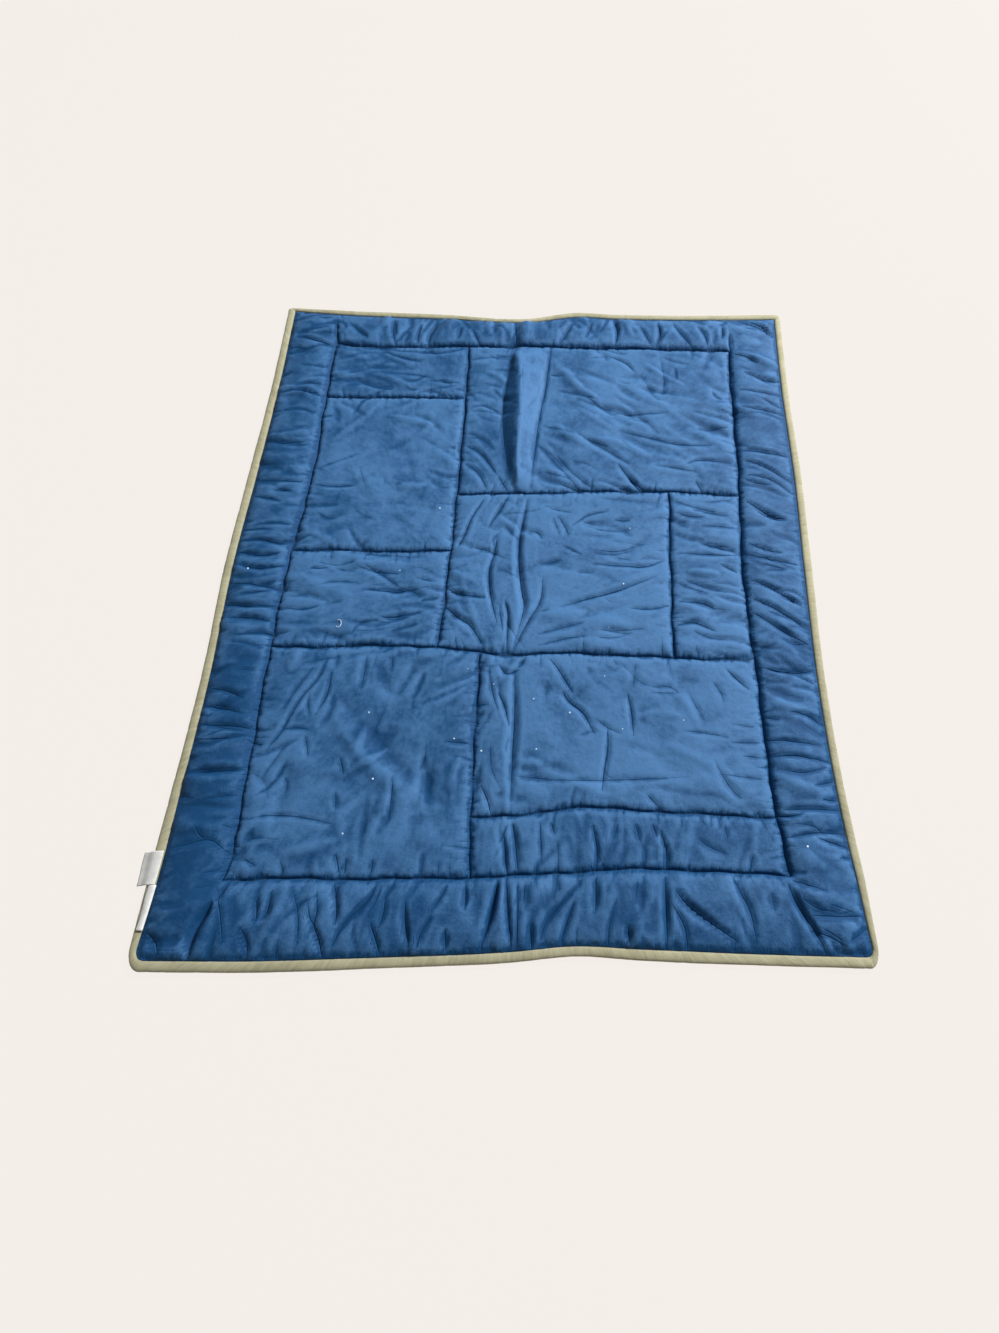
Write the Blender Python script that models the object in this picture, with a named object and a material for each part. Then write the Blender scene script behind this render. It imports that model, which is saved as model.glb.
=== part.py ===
"""Crib quilt laid out on a flat surface: padded body, four lengths of binding, blank care label.

Metres, +Z up. The tables are in millimetres and MM turns them into metres. The cloth is
described in cut coordinates, u across and v along the quilt, in which every line of
quilting is straight. The laid plan then carries each cut point to the place where it
lies, a little skewed and wavy. The body is a height over that plan: every panel has its
crown, every line of quilting is a groove, and the folds are soft troughs and ridges.
"""

import bmesh
import bpy
import numpy as np

MM = 0.001

# Cut sizes
CUT_WIDTH = 860
CUT_LENGTH = 1085
BINDING_WIDTH = 12.0
BINDING_HEIGHT = 7.4
PIECE_GAP = 0.3
CORNER_RADIUS = {"top_left": 9, "top_right": 9, "bottom_left": 27, "bottom_right": 25}

# Thickness of the filled body
RIM_HEIGHT = 4.8
SEAM_HEIGHT = 5.0
PANEL_LOFT = 8.0
BORDER_LOFT = 11.5
PANEL_SHOULDER = 16
BORDER_SHOULDER = 16
RIM_SHOULDER = 72

# The bounding box of the whole part is centred on this point of the laid plan
PLAN_CENTRE = (-9.03, -7.22)

# Lines that run along the quilt. cut: its cut place across; lies: where it lies at each
# station down the quilt.
STATIONS_ALONG = (-540, -440, -360, -180, 0, 180, 360, 540)
LINES_ALONG = (
    # name, cut, lies
    ("left_edge", -430, (-442, -439, -436.5, -431.5, -435, -430.5, -426, -427)),
    ("left_seam", -337, (-378, -345, -343.5, -344.5, -342, -330.5, -332, -330)),
    ("post_left", -107, (-118, -118, -117, -116, -108, -104, -103, -107)),
    ("post_low", -53, (-52, -53, -55, -55.5, -51, -50, -50, -50)),
    ("tuck", -30, (-27, -29, -31, -33, -28, -20, -29, -31)),
    ("fold", 5, (-2, 0, -5, -9.5, -6, 9, 26, 37)),
    ("post_right", 214, (210, 210, 209.5, 210, 214, 219.5, 221, 222)),
    ("right_seam", 327, (378, 336, 326, 321.5, 318, 328.5, 333, 340)),
    ("right_edge", 430, (427, 424, 418.5, 414, 420, 426.5, 428, 435)),
)

# Lines that run across the quilt, read in the same way at stations from left to right.
STATIONS_ACROSS = (-440, -300, -150, 0, 75, 150, 300, 440)
LINES_ACROSS = (
    # name, cut, lies
    ("bottom_edge", -542.5, (-556, -554.5, -547, -538, -530, -533, -536, -537)),
    ("bottom_seam", -440, (-456, -449, -446.5, -440, -434, -429, -432.5, -434)),
    ("bar_5", -361, (-365, -366, -367, -366, -354, -356, -362, -360)),
    ("bar_4", -136, (-132, -133.5, -129, -140, -136, -139, -142, -138)),
    ("bar_3", 28, (27, 28, 28, 34, 24, 18, 14, 12)),
    ("bar_2", 138, (134, 134, 134, 137.5, 141.5, 144, 141, 128)),
    ("bar_1", 331, (330, 330, 331, 331, 331, 331, 330, 328)),
    ("top_seam", 450, (488, 449, 449, 451, 450, 449, 447, 446)),
    ("top_edge", 542.5, (542.5, 536, 530, 523, 539, 535.5, 536, 541)),
)

# Lines of quilting in cut coordinates
SEAMS = (
    # name, from (line along, line across), to (line along, line across)
    ("frame_left", ("left_seam", "bottom_seam"), ("left_seam", "top_seam")),
    ("frame_right", ("right_seam", "bottom_seam"), ("right_seam", "top_seam")),
    ("frame_bottom", ("left_seam", "bottom_seam"), ("right_seam", "bottom_seam")),
    ("frame_top", ("left_seam", "top_seam"), ("right_seam", "top_seam")),
    ("bar_1", ("left_seam", "bar_1"), ("post_left", "bar_1")),
    ("bar_2", ("post_left", "bar_2"), ("right_seam", "bar_2")),
    ("bar_3", ("left_seam", "bar_3"), ("post_left", "bar_3")),
    ("bar_4", ("left_seam", "bar_4"), ("right_seam", "bar_4")),
    ("bar_5", ("post_low", "bar_5"), ("right_seam", "bar_5")),
    ("post_left", ("post_left", "bar_4"), ("post_left", "top_seam")),
    ("post_right", ("post_right", "bar_4"), ("post_right", "bar_2")),
    ("post_low", ("post_low", "bottom_seam"), ("post_low", "bar_4")),
)

# Main folds in cut coordinates: troughs have a negative rise, ridges a positive one
FOLDS = (
    # name, from u, from v, to u, to v, half width, rise
    ("centre fold, top border", 5, 530, 5, 455, 9, -7.0),
    ("centre fold, tuck panel", 5, 445, 5, 145, 6, -2.5),
    ("centre fold, middle panel", 5, 130, 5, -128, 9, -2.5),
    ("centre fold, low panels", 5, -145, 5, -432, 9, -3.0),
    ("centre fold, bottom border", 5, -448, 5, -530, 9, -6.0),
    ("hump beside the centre fold", 40, 530, 44, 460, 16, 4.5),
    ("cross fold, left border", -420, 28, -345, 28, 10, -3.5),
    ("cross fold, middle panel", 20, 24, 205, 28, 11, -2.0),
    ("cross fold, right border", 222, 28, 420, 28, 11, -3.0),
    ("middle panel, long crease", -38, 60, -34, -100, 11, 2.5),
    ("middle panel, low crease", 35, -15, 0, -132, 11, -2.5),
    ("middle panel, upper crease", -62, 128, -98, 50, 10, -2.5),
    ("middle panel, right crease", 212, 6, 70, -60, 11, -2.0),
    ("right low panel, upper crease", 40, -145, 112, -262, 11, -2.0),
    ("right low panel, lower crease", 118, -262, 108, -340, 10, -1.5),
    ("left low panel, diagonal", -280, -150, -300, -270, 14, -2.0),
    ("left low panel, swell", -210, -200, -130, -330, 30, 1.8),
    ("right top panel, slope", 70, 215, 190, 145, 13, -2.0),
    ("right top panel, swell", 120, 340, 290, 210, 34, 2.2),
    ("left top panel, swell", -270, 290, -170, 120, 36, 1.8),
    ("lower left corner fold", -345, -452, -352, -530, 10, -6.0),
    ("lower right corner fold", 330, -450, 345, -520, 9, -4.5),
    ("upper left corner fold", -345, 452, -418, 452, 9, -5.0),
    ("upper right corner fold", 327, 456, 327, 500, 8, -3.5),
)

# Tuck that stands beside the centre fold: a steep left face and a broad right one
TUCK = (
    # v, left foot, crest, right foot, height
    (145, -30, -19, 5, 2.5),
    (161, -33, -21, 6, 7.5),
    (200, -39, -24, 5, 11.5),
    (250, -43, -22, 4, 14.0),
    (300, -44, -20, 5, 15.0),
    (350, -40, -20, 7, 14.5),
    (400, -34, -23, 8, 12.5),
    (429, -28, -25, 9, 9.0),
    (446, -26, -21, -5, 3.0),
    (464, -25, -17, -6, 5.0),
    (514, -26, -18, -7, 6.0),
)
TUCK_LINES = (-44, -20)

# Pleats that cross the padded border
PLEATS = (
    # side, at, lean over the border's width, half width, depth
    ("left", 384, 6, 10, 3.4),
    ("left", 331, 0, 10, 5.4),
    ("left", 240, -6, 11, 3.4),
    ("left", 152, -4, 12, 3.4),
    ("left", 92, 4, 10, 2.7),
    ("left", -60, -6, 11, 4.1),
    ("left", -136, -2, 10, 4.7),
    ("left", -200, 6, 12, 2.7),
    ("left", -262, -8, 11, 3.4),
    ("left", -312, -6, 10, 6.8),
    ("left", -385, 4, 11, 4.1),
    ("right", 405, -8, 11, 3.4),
    ("right", 331, -6, 10, 4.7),
    ("right", 250, -12, 12, 3.4),
    ("right", 175, -14, 12, 3.4),
    ("right", 90, -14, 11, 3.4),
    ("right", -25, -22, 11, 4.7),
    ("right", -100, -12, 11, 4.1),
    ("right", -155, -6, 10, 4.7),
    ("right", -215, 6, 11, 2.7),
    ("right", -272, -6, 10, 5.4),
    ("right", -340, -8, 11, 3.4),
    ("right", -395, -8, 11, 4.1),
    ("top", -285, 16, 11, 4.1),
    ("top", -215, 10, 11, 3.4),
    ("top", -135, 8, 10, 4.1),
    ("top", -70, 6, 10, 4.1),
    ("top", 85, -18, 10, 4.1),
    ("top", 150, 4, 10, 4.7),
    ("top", 212, -8, 11, 4.1),
    ("top", 275, 10, 11, 3.4),
    ("bottom", -285, -4, 11, 2.7),
    ("bottom", -215, -4, 10, 4.7),
    ("bottom", -140, 16, 10, 4.1),
    ("bottom", -75, 12, 11, 3.4),
    ("bottom", 55, -14, 11, 4.1),
    ("bottom", 105, -2, 10, 3.4),
    ("bottom", 180, -12, 10, 4.7),
    ("bottom", 240, -14, 11, 4.1),
)

# Section of the folded binding: distance in from the outer edge, height
BINDING_SECTION = (
    (0.0, 3.4),
    (1.6, 0.0),
    (BINDING_WIDTH, 0.0),
    (BINDING_WIDTH, RIM_HEIGHT),
    (8.6, BINDING_HEIGHT),
    (2.4, 6.4),
)

# Care label over the left binding, and the narrow leaf below it
LABEL_THICKNESS = 1.0
LABEL_TOP = -407
LABEL_BOTTOM = -443
LABEL_ROUTE = ((-13.5, 1.6), (-7.0, 3.4), (-1.2, 6.4), (2.6, 7.8), (8.0, 8.6), (11.8, 8.4))
LEAF_BOTTOM = -497
LEAF_ROUTE = ((6.4, 8.5), (9.8, 8.5), (12.9, 8.3))

# Spacing of the body's mesh
SEAM_BAND = 6
WIDEST_CELL = 23
BORDER_CELL = 17
END_FACE = 35
DEEP_PLEAT = 4.5

MATERIALS = {
    # name: colour, roughness
    "navy_cotton": ((0.045, 0.135, 0.285), 0.85),
    "khaki_binding": ((0.43, 0.41, 0.26), 0.85),
    "white_label": ((0.86, 0.86, 0.83), 0.7),
}


def smooth(stations, values, at):
    """Cubic curve through the values at the stations, read at each place in at."""
    stations = np.asarray(stations, float)
    values = np.asarray(values, float)
    slopes = np.gradient(values, stations)
    i = np.clip(np.searchsorted(stations, at) - 1, 0, len(stations) - 2)
    span = stations[i + 1] - stations[i]
    t = (at - stations[i]) / span
    start = (1 + 2 * t) * (1 - t) ** 2 * values[i] + t * (1 - t) ** 2 * span * slopes[i]
    end = t**2 * (3 - 2 * t) * values[i + 1] + t**2 * (t - 1) * span * slopes[i + 1]
    return start + end


def between_lines(lines, stations, cut_place, station):
    """Where a cut place lies, measured between the two lines on either side of it."""
    cuts = np.array([cut for _, cut, _ in lines], float)
    lies = np.array([smooth(stations, row, station) for _, _, row in lines])
    i = np.clip(np.searchsorted(cuts, cut_place) - 1, 0, len(cuts) - 2)
    share = (cut_place - cuts[i]) / (cuts[i + 1] - cuts[i])
    points = np.arange(len(cut_place))
    return lies[i, points] * (1 - share) + lies[i + 1, points] * share


def round_corners(u, v):
    """Draw the cut corners in to arcs, keeping every point's distance from the edge."""
    u, v = u.copy(), v.copy()
    for corner, radius in CORNER_RADIUS.items():
        side_v = 1 if corner.startswith("top") else -1
        side_u = 1 if corner.endswith("right") else -1
        centre_u = CUT_WIDTH / 2 - radius
        centre_v = CUT_LENGTH / 2 - radius
        p = side_u * u - centre_u
        q = side_v * v - centre_v
        inside = (p > 0) & (q > 0)
        p, q = p[inside], q[inside]
        reach = np.maximum(p, q)
        angle = np.where(p >= q, q / reach, 2 - p / reach) * np.pi / 4
        u[inside] = side_u * (centre_u + reach * np.cos(angle))
        v[inside] = side_v * (centre_v + reach * np.sin(angle))
    return u, v


def lay(u, v):
    """Place in the laid plan, in metres about the part's centre, of cut points u, v."""
    u, v = round_corners(np.asarray(u, float), np.asarray(v, float))
    x, y = u, v
    for _ in range(6):
        x = between_lines(LINES_ALONG, STATIONS_ALONG, u, y)
        y = between_lines(LINES_ACROSS, STATIONS_ACROSS, v, x)
    return (x - PLAN_CENTRE[0]) * MM, (y - PLAN_CENTRE[1]) * MM


def distance_to_run(u, v, start, end):
    """Distance of cut points from the straight run between two cut places."""
    along = np.subtract(end, start).astype(float)
    share = ((u - start[0]) * along[0] + (v - start[1]) * along[1]) / (along @ along)
    share = np.clip(share, 0, 1)
    return np.hypot(u - start[0] - share * along[0], v - start[1] - share * along[1])


def distance_to_seams(u, v):
    """Distance of cut points from the nearest line of quilting."""
    place_along = {name: cut for name, cut, _ in LINES_ALONG}
    place_across = {name: cut for name, cut, _ in LINES_ACROSS}
    runs = [
        distance_to_run(
            u,
            v,
            (place_along[start[0]], place_across[start[1]]),
            (place_along[end[0]], place_across[end[1]]),
        )
        for _, start, end in SEAMS
    ]
    return np.min(runs, axis=0)


def shoulder(distance, reach):
    """Rise from 0 at a seam to 1 at the reach, round like the edge of a cushion."""
    return np.sqrt(1 - (1 - np.clip(distance / reach, 0, 1)) ** 2)


def pleat_depth(u, v):
    """Total depth of the pleats that cross the padded border strips."""
    outward = {"left": -u, "right": u, "bottom": -v, "top": v}
    along = {"left": v, "right": v, "bottom": u, "top": u}
    inner = {"left": 337, "right": 327, "bottom": 440, "top": 450}
    width = 95.0
    depth = np.zeros_like(u)
    for side, at, lean, half_width, deepest in PLEATS:
        share = (outward[side] - inner[side]) / width
        away = along[side] - at - lean * (share - 0.5)
        held = np.clip(share * 4, 0, 1) * np.clip(1.25 - share, 0, 1)
        depth += deepest * np.exp(-((away / half_width) ** 2)) * held
    return depth


def tuck_height(u, v):
    """Height of the tuck: a triangle across, its foot and crest lines smooth along."""
    table = np.array(TUCK)
    at = np.clip(v, table[0, 0], table[-1, 0])
    left, crest, right, top = (smooth(table[:, 0], column, at) for column in table[:, 1:].T)
    share = np.minimum((u - left) / (crest - left), (right - u) / (right - crest))
    ends = np.clip((v - table[0, 0]) / 20, 0, 1) * np.clip((table[-1, 0] - v) / 20 + 1, 0, 1)
    return top * ends * np.clip(share, 0, 1)


def top_height(u, v):
    """Height of the body's upper face: crowns, channels, pleats and folds."""
    from_rim = np.minimum(CUT_WIDTH / 2 - np.abs(u), CUT_LENGTH / 2 - np.abs(v))
    from_rim = from_rim - BINDING_WIDTH - PIECE_GAP
    from_seam = distance_to_seams(u, v)
    in_border = (u < -337) | (u > 327) | (v < -440) | (v > 450)
    border_rise = BORDER_LOFT * shoulder(from_seam, BORDER_SHOULDER)
    panel_rise = PANEL_LOFT * shoulder(from_seam, PANEL_SHOULDER)
    edge = shoulder(from_rim, RIM_SHOULDER)
    height = SEAM_HEIGHT + np.where(in_border, border_rise * edge, panel_rise)
    height = height - pleat_depth(u, v) * shoulder(from_seam, BORDER_SHOULDER) * edge
    for _, u0, v0, u1, v1, half_width, rise in FOLDS:
        spread = np.exp(-((distance_to_run(u, v, (u0, v0), (u1, v1)) / half_width) ** 2))
        height = height + rise * spread * shoulder(from_seam, 9) * edge
    height = height + tuck_height(u, v) * shoulder(from_seam, 16) * edge
    return np.where(from_rim < 0.01, RIM_HEIGHT, np.maximum(height, RIM_HEIGHT))


def ticks(marks, creases, low, high, border_low, border_high):
    """Mesh places between low and high: each mark with a band, each crease, even cells."""
    places = {low, high, low + 3.5, high - 3.5, low + 9, high - 9}
    for mark in marks:
        places |= {mark, mark - SEAM_BAND, mark + SEAM_BAND}
    for crease in creases:
        if min(abs(crease - place) for place in places) > SEAM_BAND:
            places.add(crease)
    places = sorted(places)
    filled = [places[0]]
    for start, end in zip(places, places[1:]):
        middle = (start + end) / 2
        widest = WIDEST_CELL if border_low < middle < border_high else BORDER_CELL
        count = max(1, int(np.ceil((end - start) / widest)))
        filled += [start + (end - start) * step / count for step in range(1, count + 1)]
    return np.array(filled)


def mesh_places():
    """Places across and along of the body's mesh, shared with the binding."""
    inset = BINDING_WIDTH + PIECE_GAP
    across = [cut for name, cut, _ in LINES_ALONG if not name.endswith("edge")]
    along = [cut for name, cut, _ in LINES_ACROSS if not name.endswith("edge")]
    deep = [pleat for pleat in PLEATS if pleat[-1] >= DEEP_PLEAT]
    across_deep = [at for side, at, *_ in deep if side in ("top", "bottom")]
    along_deep = [at for side, at, *_ in deep if side in ("left", "right")]
    half_u, half_v = CUT_WIDTH / 2 - inset, CUT_LENGTH / 2 - inset
    return (
        ticks(across, [*TUCK_LINES, *across_deep], -half_u, half_u, -337, 327),
        ticks(along, along_deep, -half_v, half_v, -440, 450),
    )


def make_material(name):
    """Principled material of one cloth."""
    colour, roughness = MATERIALS[name]
    material = bpy.data.materials.new(name)
    material.use_nodes = True
    shader = material.node_tree.nodes["Principled BSDF"]
    shader.inputs["Base Color"].default_value = (*colour, 1.0)
    shader.inputs["Roughness"].default_value = roughness
    shader.inputs["Metallic"].default_value = 0.0
    material.diffuse_color = (*colour, 1.0)
    return material


def finish_object(name, mesh_data, material, collection):
    """Turn a bmesh into a named object with outward faces and one material."""
    bmesh.ops.recalc_face_normals(mesh_data, faces=mesh_data.faces[:])
    mesh = bpy.data.meshes.new(name)
    mesh_data.to_mesh(mesh)
    mesh_data.free()
    mesh.materials.append(material)
    obj = bpy.data.objects.new(name, mesh)
    collection.objects.link(obj)
    return obj


def close_below(body, corner, columns, rows, along):
    """Wall the body's rim down to z = 0 and close it there with flat faces."""
    rim = [edge for edge in body.edges if edge.is_boundary]
    walls = bmesh.ops.extrude_edge_only(body, edges=rim)["geom"]
    feet = {item for item in walls if isinstance(item, bmesh.types.BMVert)}
    below = {}
    for place, vert in corner.items():
        for edge in vert.link_edges:
            if edge.other_vert(vert) in feet:
                below[place] = edge.other_vert(vert)
                below[place].co.z = 0.0
    inner = (along > along[0] + END_FACE) & (along < along[-1] - END_FACE)
    rungs = [0, *np.flatnonzero(inner), rows - 1]
    for j, k in zip(rungs, rungs[1:]):
        left = [below[0, row] for row in range(j, k + 1)]
        right = [below[columns - 1, row] for row in range(j, k + 1)]
        low = [below[column, 0] for column in range(1, columns - 1)] if j == 0 else []
        high = [below[column, k] for column in range(1, columns - 1)] if k == rows - 1 else []
        body.faces.new([left[0], *low, *right, *high[::-1], *left[:0:-1]])


def build_body(material, collection):
    """Filled body: a grid shaped to the laid plan and crown, walled and closed below."""
    across, along = mesh_places()
    columns, rows = len(across), len(along)
    body = bmesh.new()
    bmesh.ops.create_grid(body, x_segments=columns - 1, y_segments=rows - 1, size=0.5)
    flat = np.array([vert.co[:2] for vert in body.verts]) + 0.5
    column = np.rint(flat[:, 0] * (columns - 1)).astype(int)
    row = np.rint(flat[:, 1] * (rows - 1)).astype(int)
    u, v = across[column], along[row]
    x, y = lay(u, v)
    z = top_height(u, v) * MM
    for vert, place in zip(body.verts, zip(x, y, z)):
        vert.co = place
    corner = dict(zip(zip(column, row), body.verts))
    close_below(body, corner, columns, rows, along)
    return finish_object("quilt_body", body, material, collection)


def skin_rings(rings):
    """Closed bmesh over rings of equal length, each end filled with one face."""
    skin = bmesh.new()
    loops = [[skin.verts.new(point) for point in ring] for ring in rings]
    for ring, following in zip(loops, loops[1:]):
        for k in range(len(ring)):
            after = (k + 1) % len(ring)
            skin.faces.new((ring[k], ring[after], following[after], following[k]))
    skin.faces.new(loops[0])
    skin.faces.new(list(reversed(loops[-1])))
    return skin


def build_binding(side, material, collection):
    """One length of folded binding, mitred at both corners, beside the body's rim."""
    across, along = mesh_places()
    lengthwise = side in ("left", "right")
    places = along if lengthwise else across
    half_run = (CUT_LENGTH if lengthwise else CUT_WIDTH) / 2
    half_out = (CUT_WIDTH if lengthwise else CUT_LENGTH) / 2
    outward = 1 if side in ("right", "top") else -1
    share = places / places[-1]
    rings = []
    for number, place in enumerate(share):
        swell = 1 + 0.05 * np.cos(2.4 * number)
        ring = []
        for inset, height in BINDING_SECTION:
            run = place * (half_run - inset - PIECE_GAP * 0.75)
            out = outward * (half_out - inset)
            u, v = (out, run) if lengthwise else (run, out)
            x, y = lay([u], [v])
            raised = height * swell if height > RIM_HEIGHT else height
            ring.append((x[0], y[0], raised * MM))
        rings.append(ring)
    return finish_object(f"binding_{side}", skin_rings(rings), material, collection)


def build_strip(name, route, top, bottom, steps, material, collection):
    """Label cloth over the left binding: a route in from the edge, carried along it."""
    rings = []
    for place in np.linspace(top, bottom, steps):
        upper, lower = [], []
        for inset, height in route:
            x, y = lay([-CUT_WIDTH / 2 + inset], [place])
            upper.append((x[0], y[0], (height + LABEL_THICKNESS) * MM))
            lower.append((x[0], y[0], height * MM))
        rings.append(upper + lower[::-1])
    return finish_object(name, skin_rings(rings), material, collection)


def main():
    for obj in list(bpy.data.objects):
        bpy.data.objects.remove(obj, do_unlink=True)
    collection = bpy.data.collections.new("crib_quilt")
    bpy.context.scene.collection.children.link(collection)
    cotton = make_material("navy_cotton")
    binding = make_material("khaki_binding")
    label = make_material("white_label")
    build_body(cotton, collection)
    for side in ("top", "right", "bottom", "left"):
        build_binding(side, binding, collection)
    build_strip("care_label", LABEL_ROUTE, LABEL_TOP, LABEL_BOTTOM, 4, label, collection)
    build_strip(
        "label_leaf", LEAF_ROUTE, LABEL_BOTTOM - 0.3, LEAF_BOTTOM, 5, label, collection
    )


if __name__ == "__main__":
    main()
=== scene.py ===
"""Looks of a crib quilt laid out on a floor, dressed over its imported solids.

Places on the cloth are in millimetres, in cut coordinates: u across and v along the
quilt, where every line of quilting is straight. The laid plan carries them to where the
quilt lies, and finished meshes are in metres.
"""

import logging
import math
from dataclasses import dataclass, field
from typing import Any, Iterable, Sequence

import bpy
import numpy as np
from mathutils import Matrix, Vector


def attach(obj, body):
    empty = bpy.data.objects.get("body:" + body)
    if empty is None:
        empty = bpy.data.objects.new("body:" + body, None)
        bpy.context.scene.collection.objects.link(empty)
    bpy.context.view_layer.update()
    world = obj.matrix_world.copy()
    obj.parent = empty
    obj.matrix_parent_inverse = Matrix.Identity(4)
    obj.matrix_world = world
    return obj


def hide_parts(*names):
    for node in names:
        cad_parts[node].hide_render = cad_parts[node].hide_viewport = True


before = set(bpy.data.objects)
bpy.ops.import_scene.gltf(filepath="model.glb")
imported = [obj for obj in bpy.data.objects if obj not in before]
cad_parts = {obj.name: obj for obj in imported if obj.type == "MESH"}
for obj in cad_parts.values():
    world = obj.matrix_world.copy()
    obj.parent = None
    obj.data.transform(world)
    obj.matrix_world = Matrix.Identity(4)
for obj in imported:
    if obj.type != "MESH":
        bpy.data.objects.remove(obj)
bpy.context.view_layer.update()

LOG = logging.getLogger("crib_quilt")
MM = 0.001
CREASE_LAYERS = 4
Array = np.ndarray


# Shader expressions


class Sock:
    """One shader output that takes part in Python arithmetic."""

    def __init__(self, graph: "Graph", socket: bpy.types.NodeSocket) -> None:
        """Wrap a socket.

        Args:
            graph: The node graph that the socket belongs to.
            socket: The output socket.
        """
        self.graph = graph
        self.socket = socket

    def _math(self, operation: str, *values: Any) -> "Sock":
        """Add a Math node over the values, in order."""
        inputs = {index: value for index, value in enumerate(values)}
        return self.graph.add("ShaderNodeMath", {"operation": operation}, inputs)

    def __add__(self, other: Any) -> "Sock":
        """Sum."""
        return self._math("ADD", self, other)

    def __radd__(self, other: Any) -> "Sock":
        """Sum, reflected."""
        return self._math("ADD", other, self)

    def __sub__(self, other: Any) -> "Sock":
        """Difference."""
        return self._math("SUBTRACT", self, other)

    def __rsub__(self, other: Any) -> "Sock":
        """Difference, reflected."""
        return self._math("SUBTRACT", other, self)

    def __mul__(self, other: Any) -> "Sock":
        """Product."""
        return self._math("MULTIPLY", self, other)

    def __rmul__(self, other: Any) -> "Sock":
        """Product, reflected."""
        return self._math("MULTIPLY", other, self)

    def __truediv__(self, other: Any) -> "Sock":
        """Quotient."""
        return self._math("DIVIDE", self, other)

    def __pow__(self, other: Any) -> "Sock":
        """Power."""
        return self._math("POWER", self, other)

    def sine(self) -> "Sock":
        """Sine of the value in radians."""
        return self._math("SINE", self)

    def magnitude(self) -> "Sock":
        """Absolute value."""
        return self._math("ABSOLUTE", self)

    def rise(self, low: float, high: float) -> "Sock":
        """Smooth step from 0 at low to 1 at high.

        Args:
            low: Value where the step starts.
            high: Value where the step ends.

        Returns:
            The stepped value.
        """
        settings = {"interpolation_type": "SMOOTHSTEP"}
        inputs = {"Value": self, "From Min": low, "From Max": high}
        return self.graph.add("ShaderNodeMapRange", settings, inputs)


class Graph:
    """The node graph of one material, with a Principled shader at its end."""

    def __init__(self, name: str) -> None:
        """Make an empty material.

        Args:
            name: The material's name.
        """
        self.material = bpy.data.materials.new(name)
        self.material.use_nodes = True
        self.tree = self.material.node_tree
        self.shader = self.tree.nodes["Principled BSDF"]

    def _find(self, node: bpy.types.Node, key: int | str) -> bpy.types.NodeSocket:
        """Input socket by number, identifier or name."""
        if isinstance(key, int):
            return node.inputs[key]
        named = [s for s in node.inputs if key in (s.identifier, s.name)]
        return [s for s in named if s.identifier == key or s.enabled][0]

    def _feed(self, socket: bpy.types.NodeSocket, value: Any) -> None:
        """Link a Sock to a socket, or set the socket's own value."""
        if isinstance(value, Sock):
            self.tree.links.new(value.socket, socket)
        else:
            socket.default_value = value

    def add(
        self,
        kind: str,
        settings: dict[str, Any] | None = None,
        inputs: dict[int | str, Any] | None = None,
        output: int | str = 0,
    ) -> Sock:
        """Add one node.

        Args:
            kind: Blender's node type.
            settings: Properties of the node, set first.
            inputs: Values or links of its sockets.
            output: Number or name of the output to return.

        Returns:
            The chosen output.
        """
        node = self.tree.nodes.new(kind)
        for name, value in (settings or {}).items():
            setattr(node, name, value)
        for key, value in (inputs or {}).items():
            self._feed(self._find(node, key), value)
        if isinstance(output, str):
            found = [s for s in node.outputs if output in (s.identifier, s.name)]
            return Sock(self, found[0])
        return Sock(self, node.outputs[output])

    def noise(self, at: Sock, scale: float, detail: float = 3.0, rough: float = 0.5) -> Sock:
        """Noise centred on one half.

        Args:
            at: Coordinates to read.
            scale: Number of noise cells in a metre.
            detail: Octaves.
            rough: Strength of the finer octaves.

        Returns:
            The noise value.
        """
        inputs = {"Vector": at, "Scale": scale, "Detail": detail, "Roughness": rough}
        return self.add("ShaderNodeTexNoise", {}, inputs, "Fac")

    def stretched(self, at: Sock, scale: tuple[float, float, float]) -> Sock:
        """Coordinates scaled along each axis through a Mapping node."""
        return self.add("ShaderNodeMapping", {}, {"Vector": at, "Scale": scale})

    def mix(self, factor: Any, low: Any, high: Any, mode: str = "MIX") -> Sock:
        """Blend two colours.

        Args:
            factor: Share of the second colour.
            low: First colour.
            high: Second colour.
            mode: Blend mode.

        Returns:
            The blended colour.
        """
        settings = {"data_type": "RGBA", "blend_type": mode}
        inputs = {"Factor_Float": factor, "A_Color": low, "B_Color": high}
        return self.add("ShaderNodeMix", settings, inputs, "Result_Color")

    def cut(self) -> Sock:
        """Cut coordinates of the cloth, in metres."""
        return self.add("ShaderNodeUVMap", {"uv_map": "cut"}, {}, "UV")

    def solid(self) -> Sock:
        """The object's own coordinates, in metres."""
        return self.add("ShaderNodeTexCoord", {}, {}, "Object")

    def share(self, vector: Sock, axis: str) -> Sock:
        """One part of a vector."""
        return self.add("ShaderNodeSeparateXYZ", {}, {"Vector": vector}, axis)

    def attribute(self, name: str, output: str = "Fac") -> Sock:
        """Value that the mesh keeps at each point."""
        return self.add("ShaderNodeAttribute", {"attribute_name": name}, {}, output)

    def bump(self, height: Sock, distance: float, strength: float = 1.0) -> None:
        """Feed a Bump node into the shader's normal.

        Args:
            height: Height, about 0 to 1.
            distance: Depth in metres of a height of one.
            strength: Share of the bump that is used.
        """
        inputs = {"Height": height, "Distance": distance, "Strength": strength}
        normal = self.add("ShaderNodeBump", {}, inputs, "Normal")
        self.tree.links.new(normal.socket, self.shader.inputs["Normal"])

    def finish(self, values: dict[str, Any]) -> bpy.types.Material:
        """Set the shader's own sockets.

        Args:
            values: Socket names and their values or links.

        Returns:
            The finished material.
        """
        for name, value in values.items():
            self._feed(self.shader.inputs[name], value)
        return self.material


def rgba(colour: Sequence[float]) -> tuple[float, float, float, float]:
    """Colour with an opaque alpha."""
    return (colour[0], colour[1], colour[2], 1.0)


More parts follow.
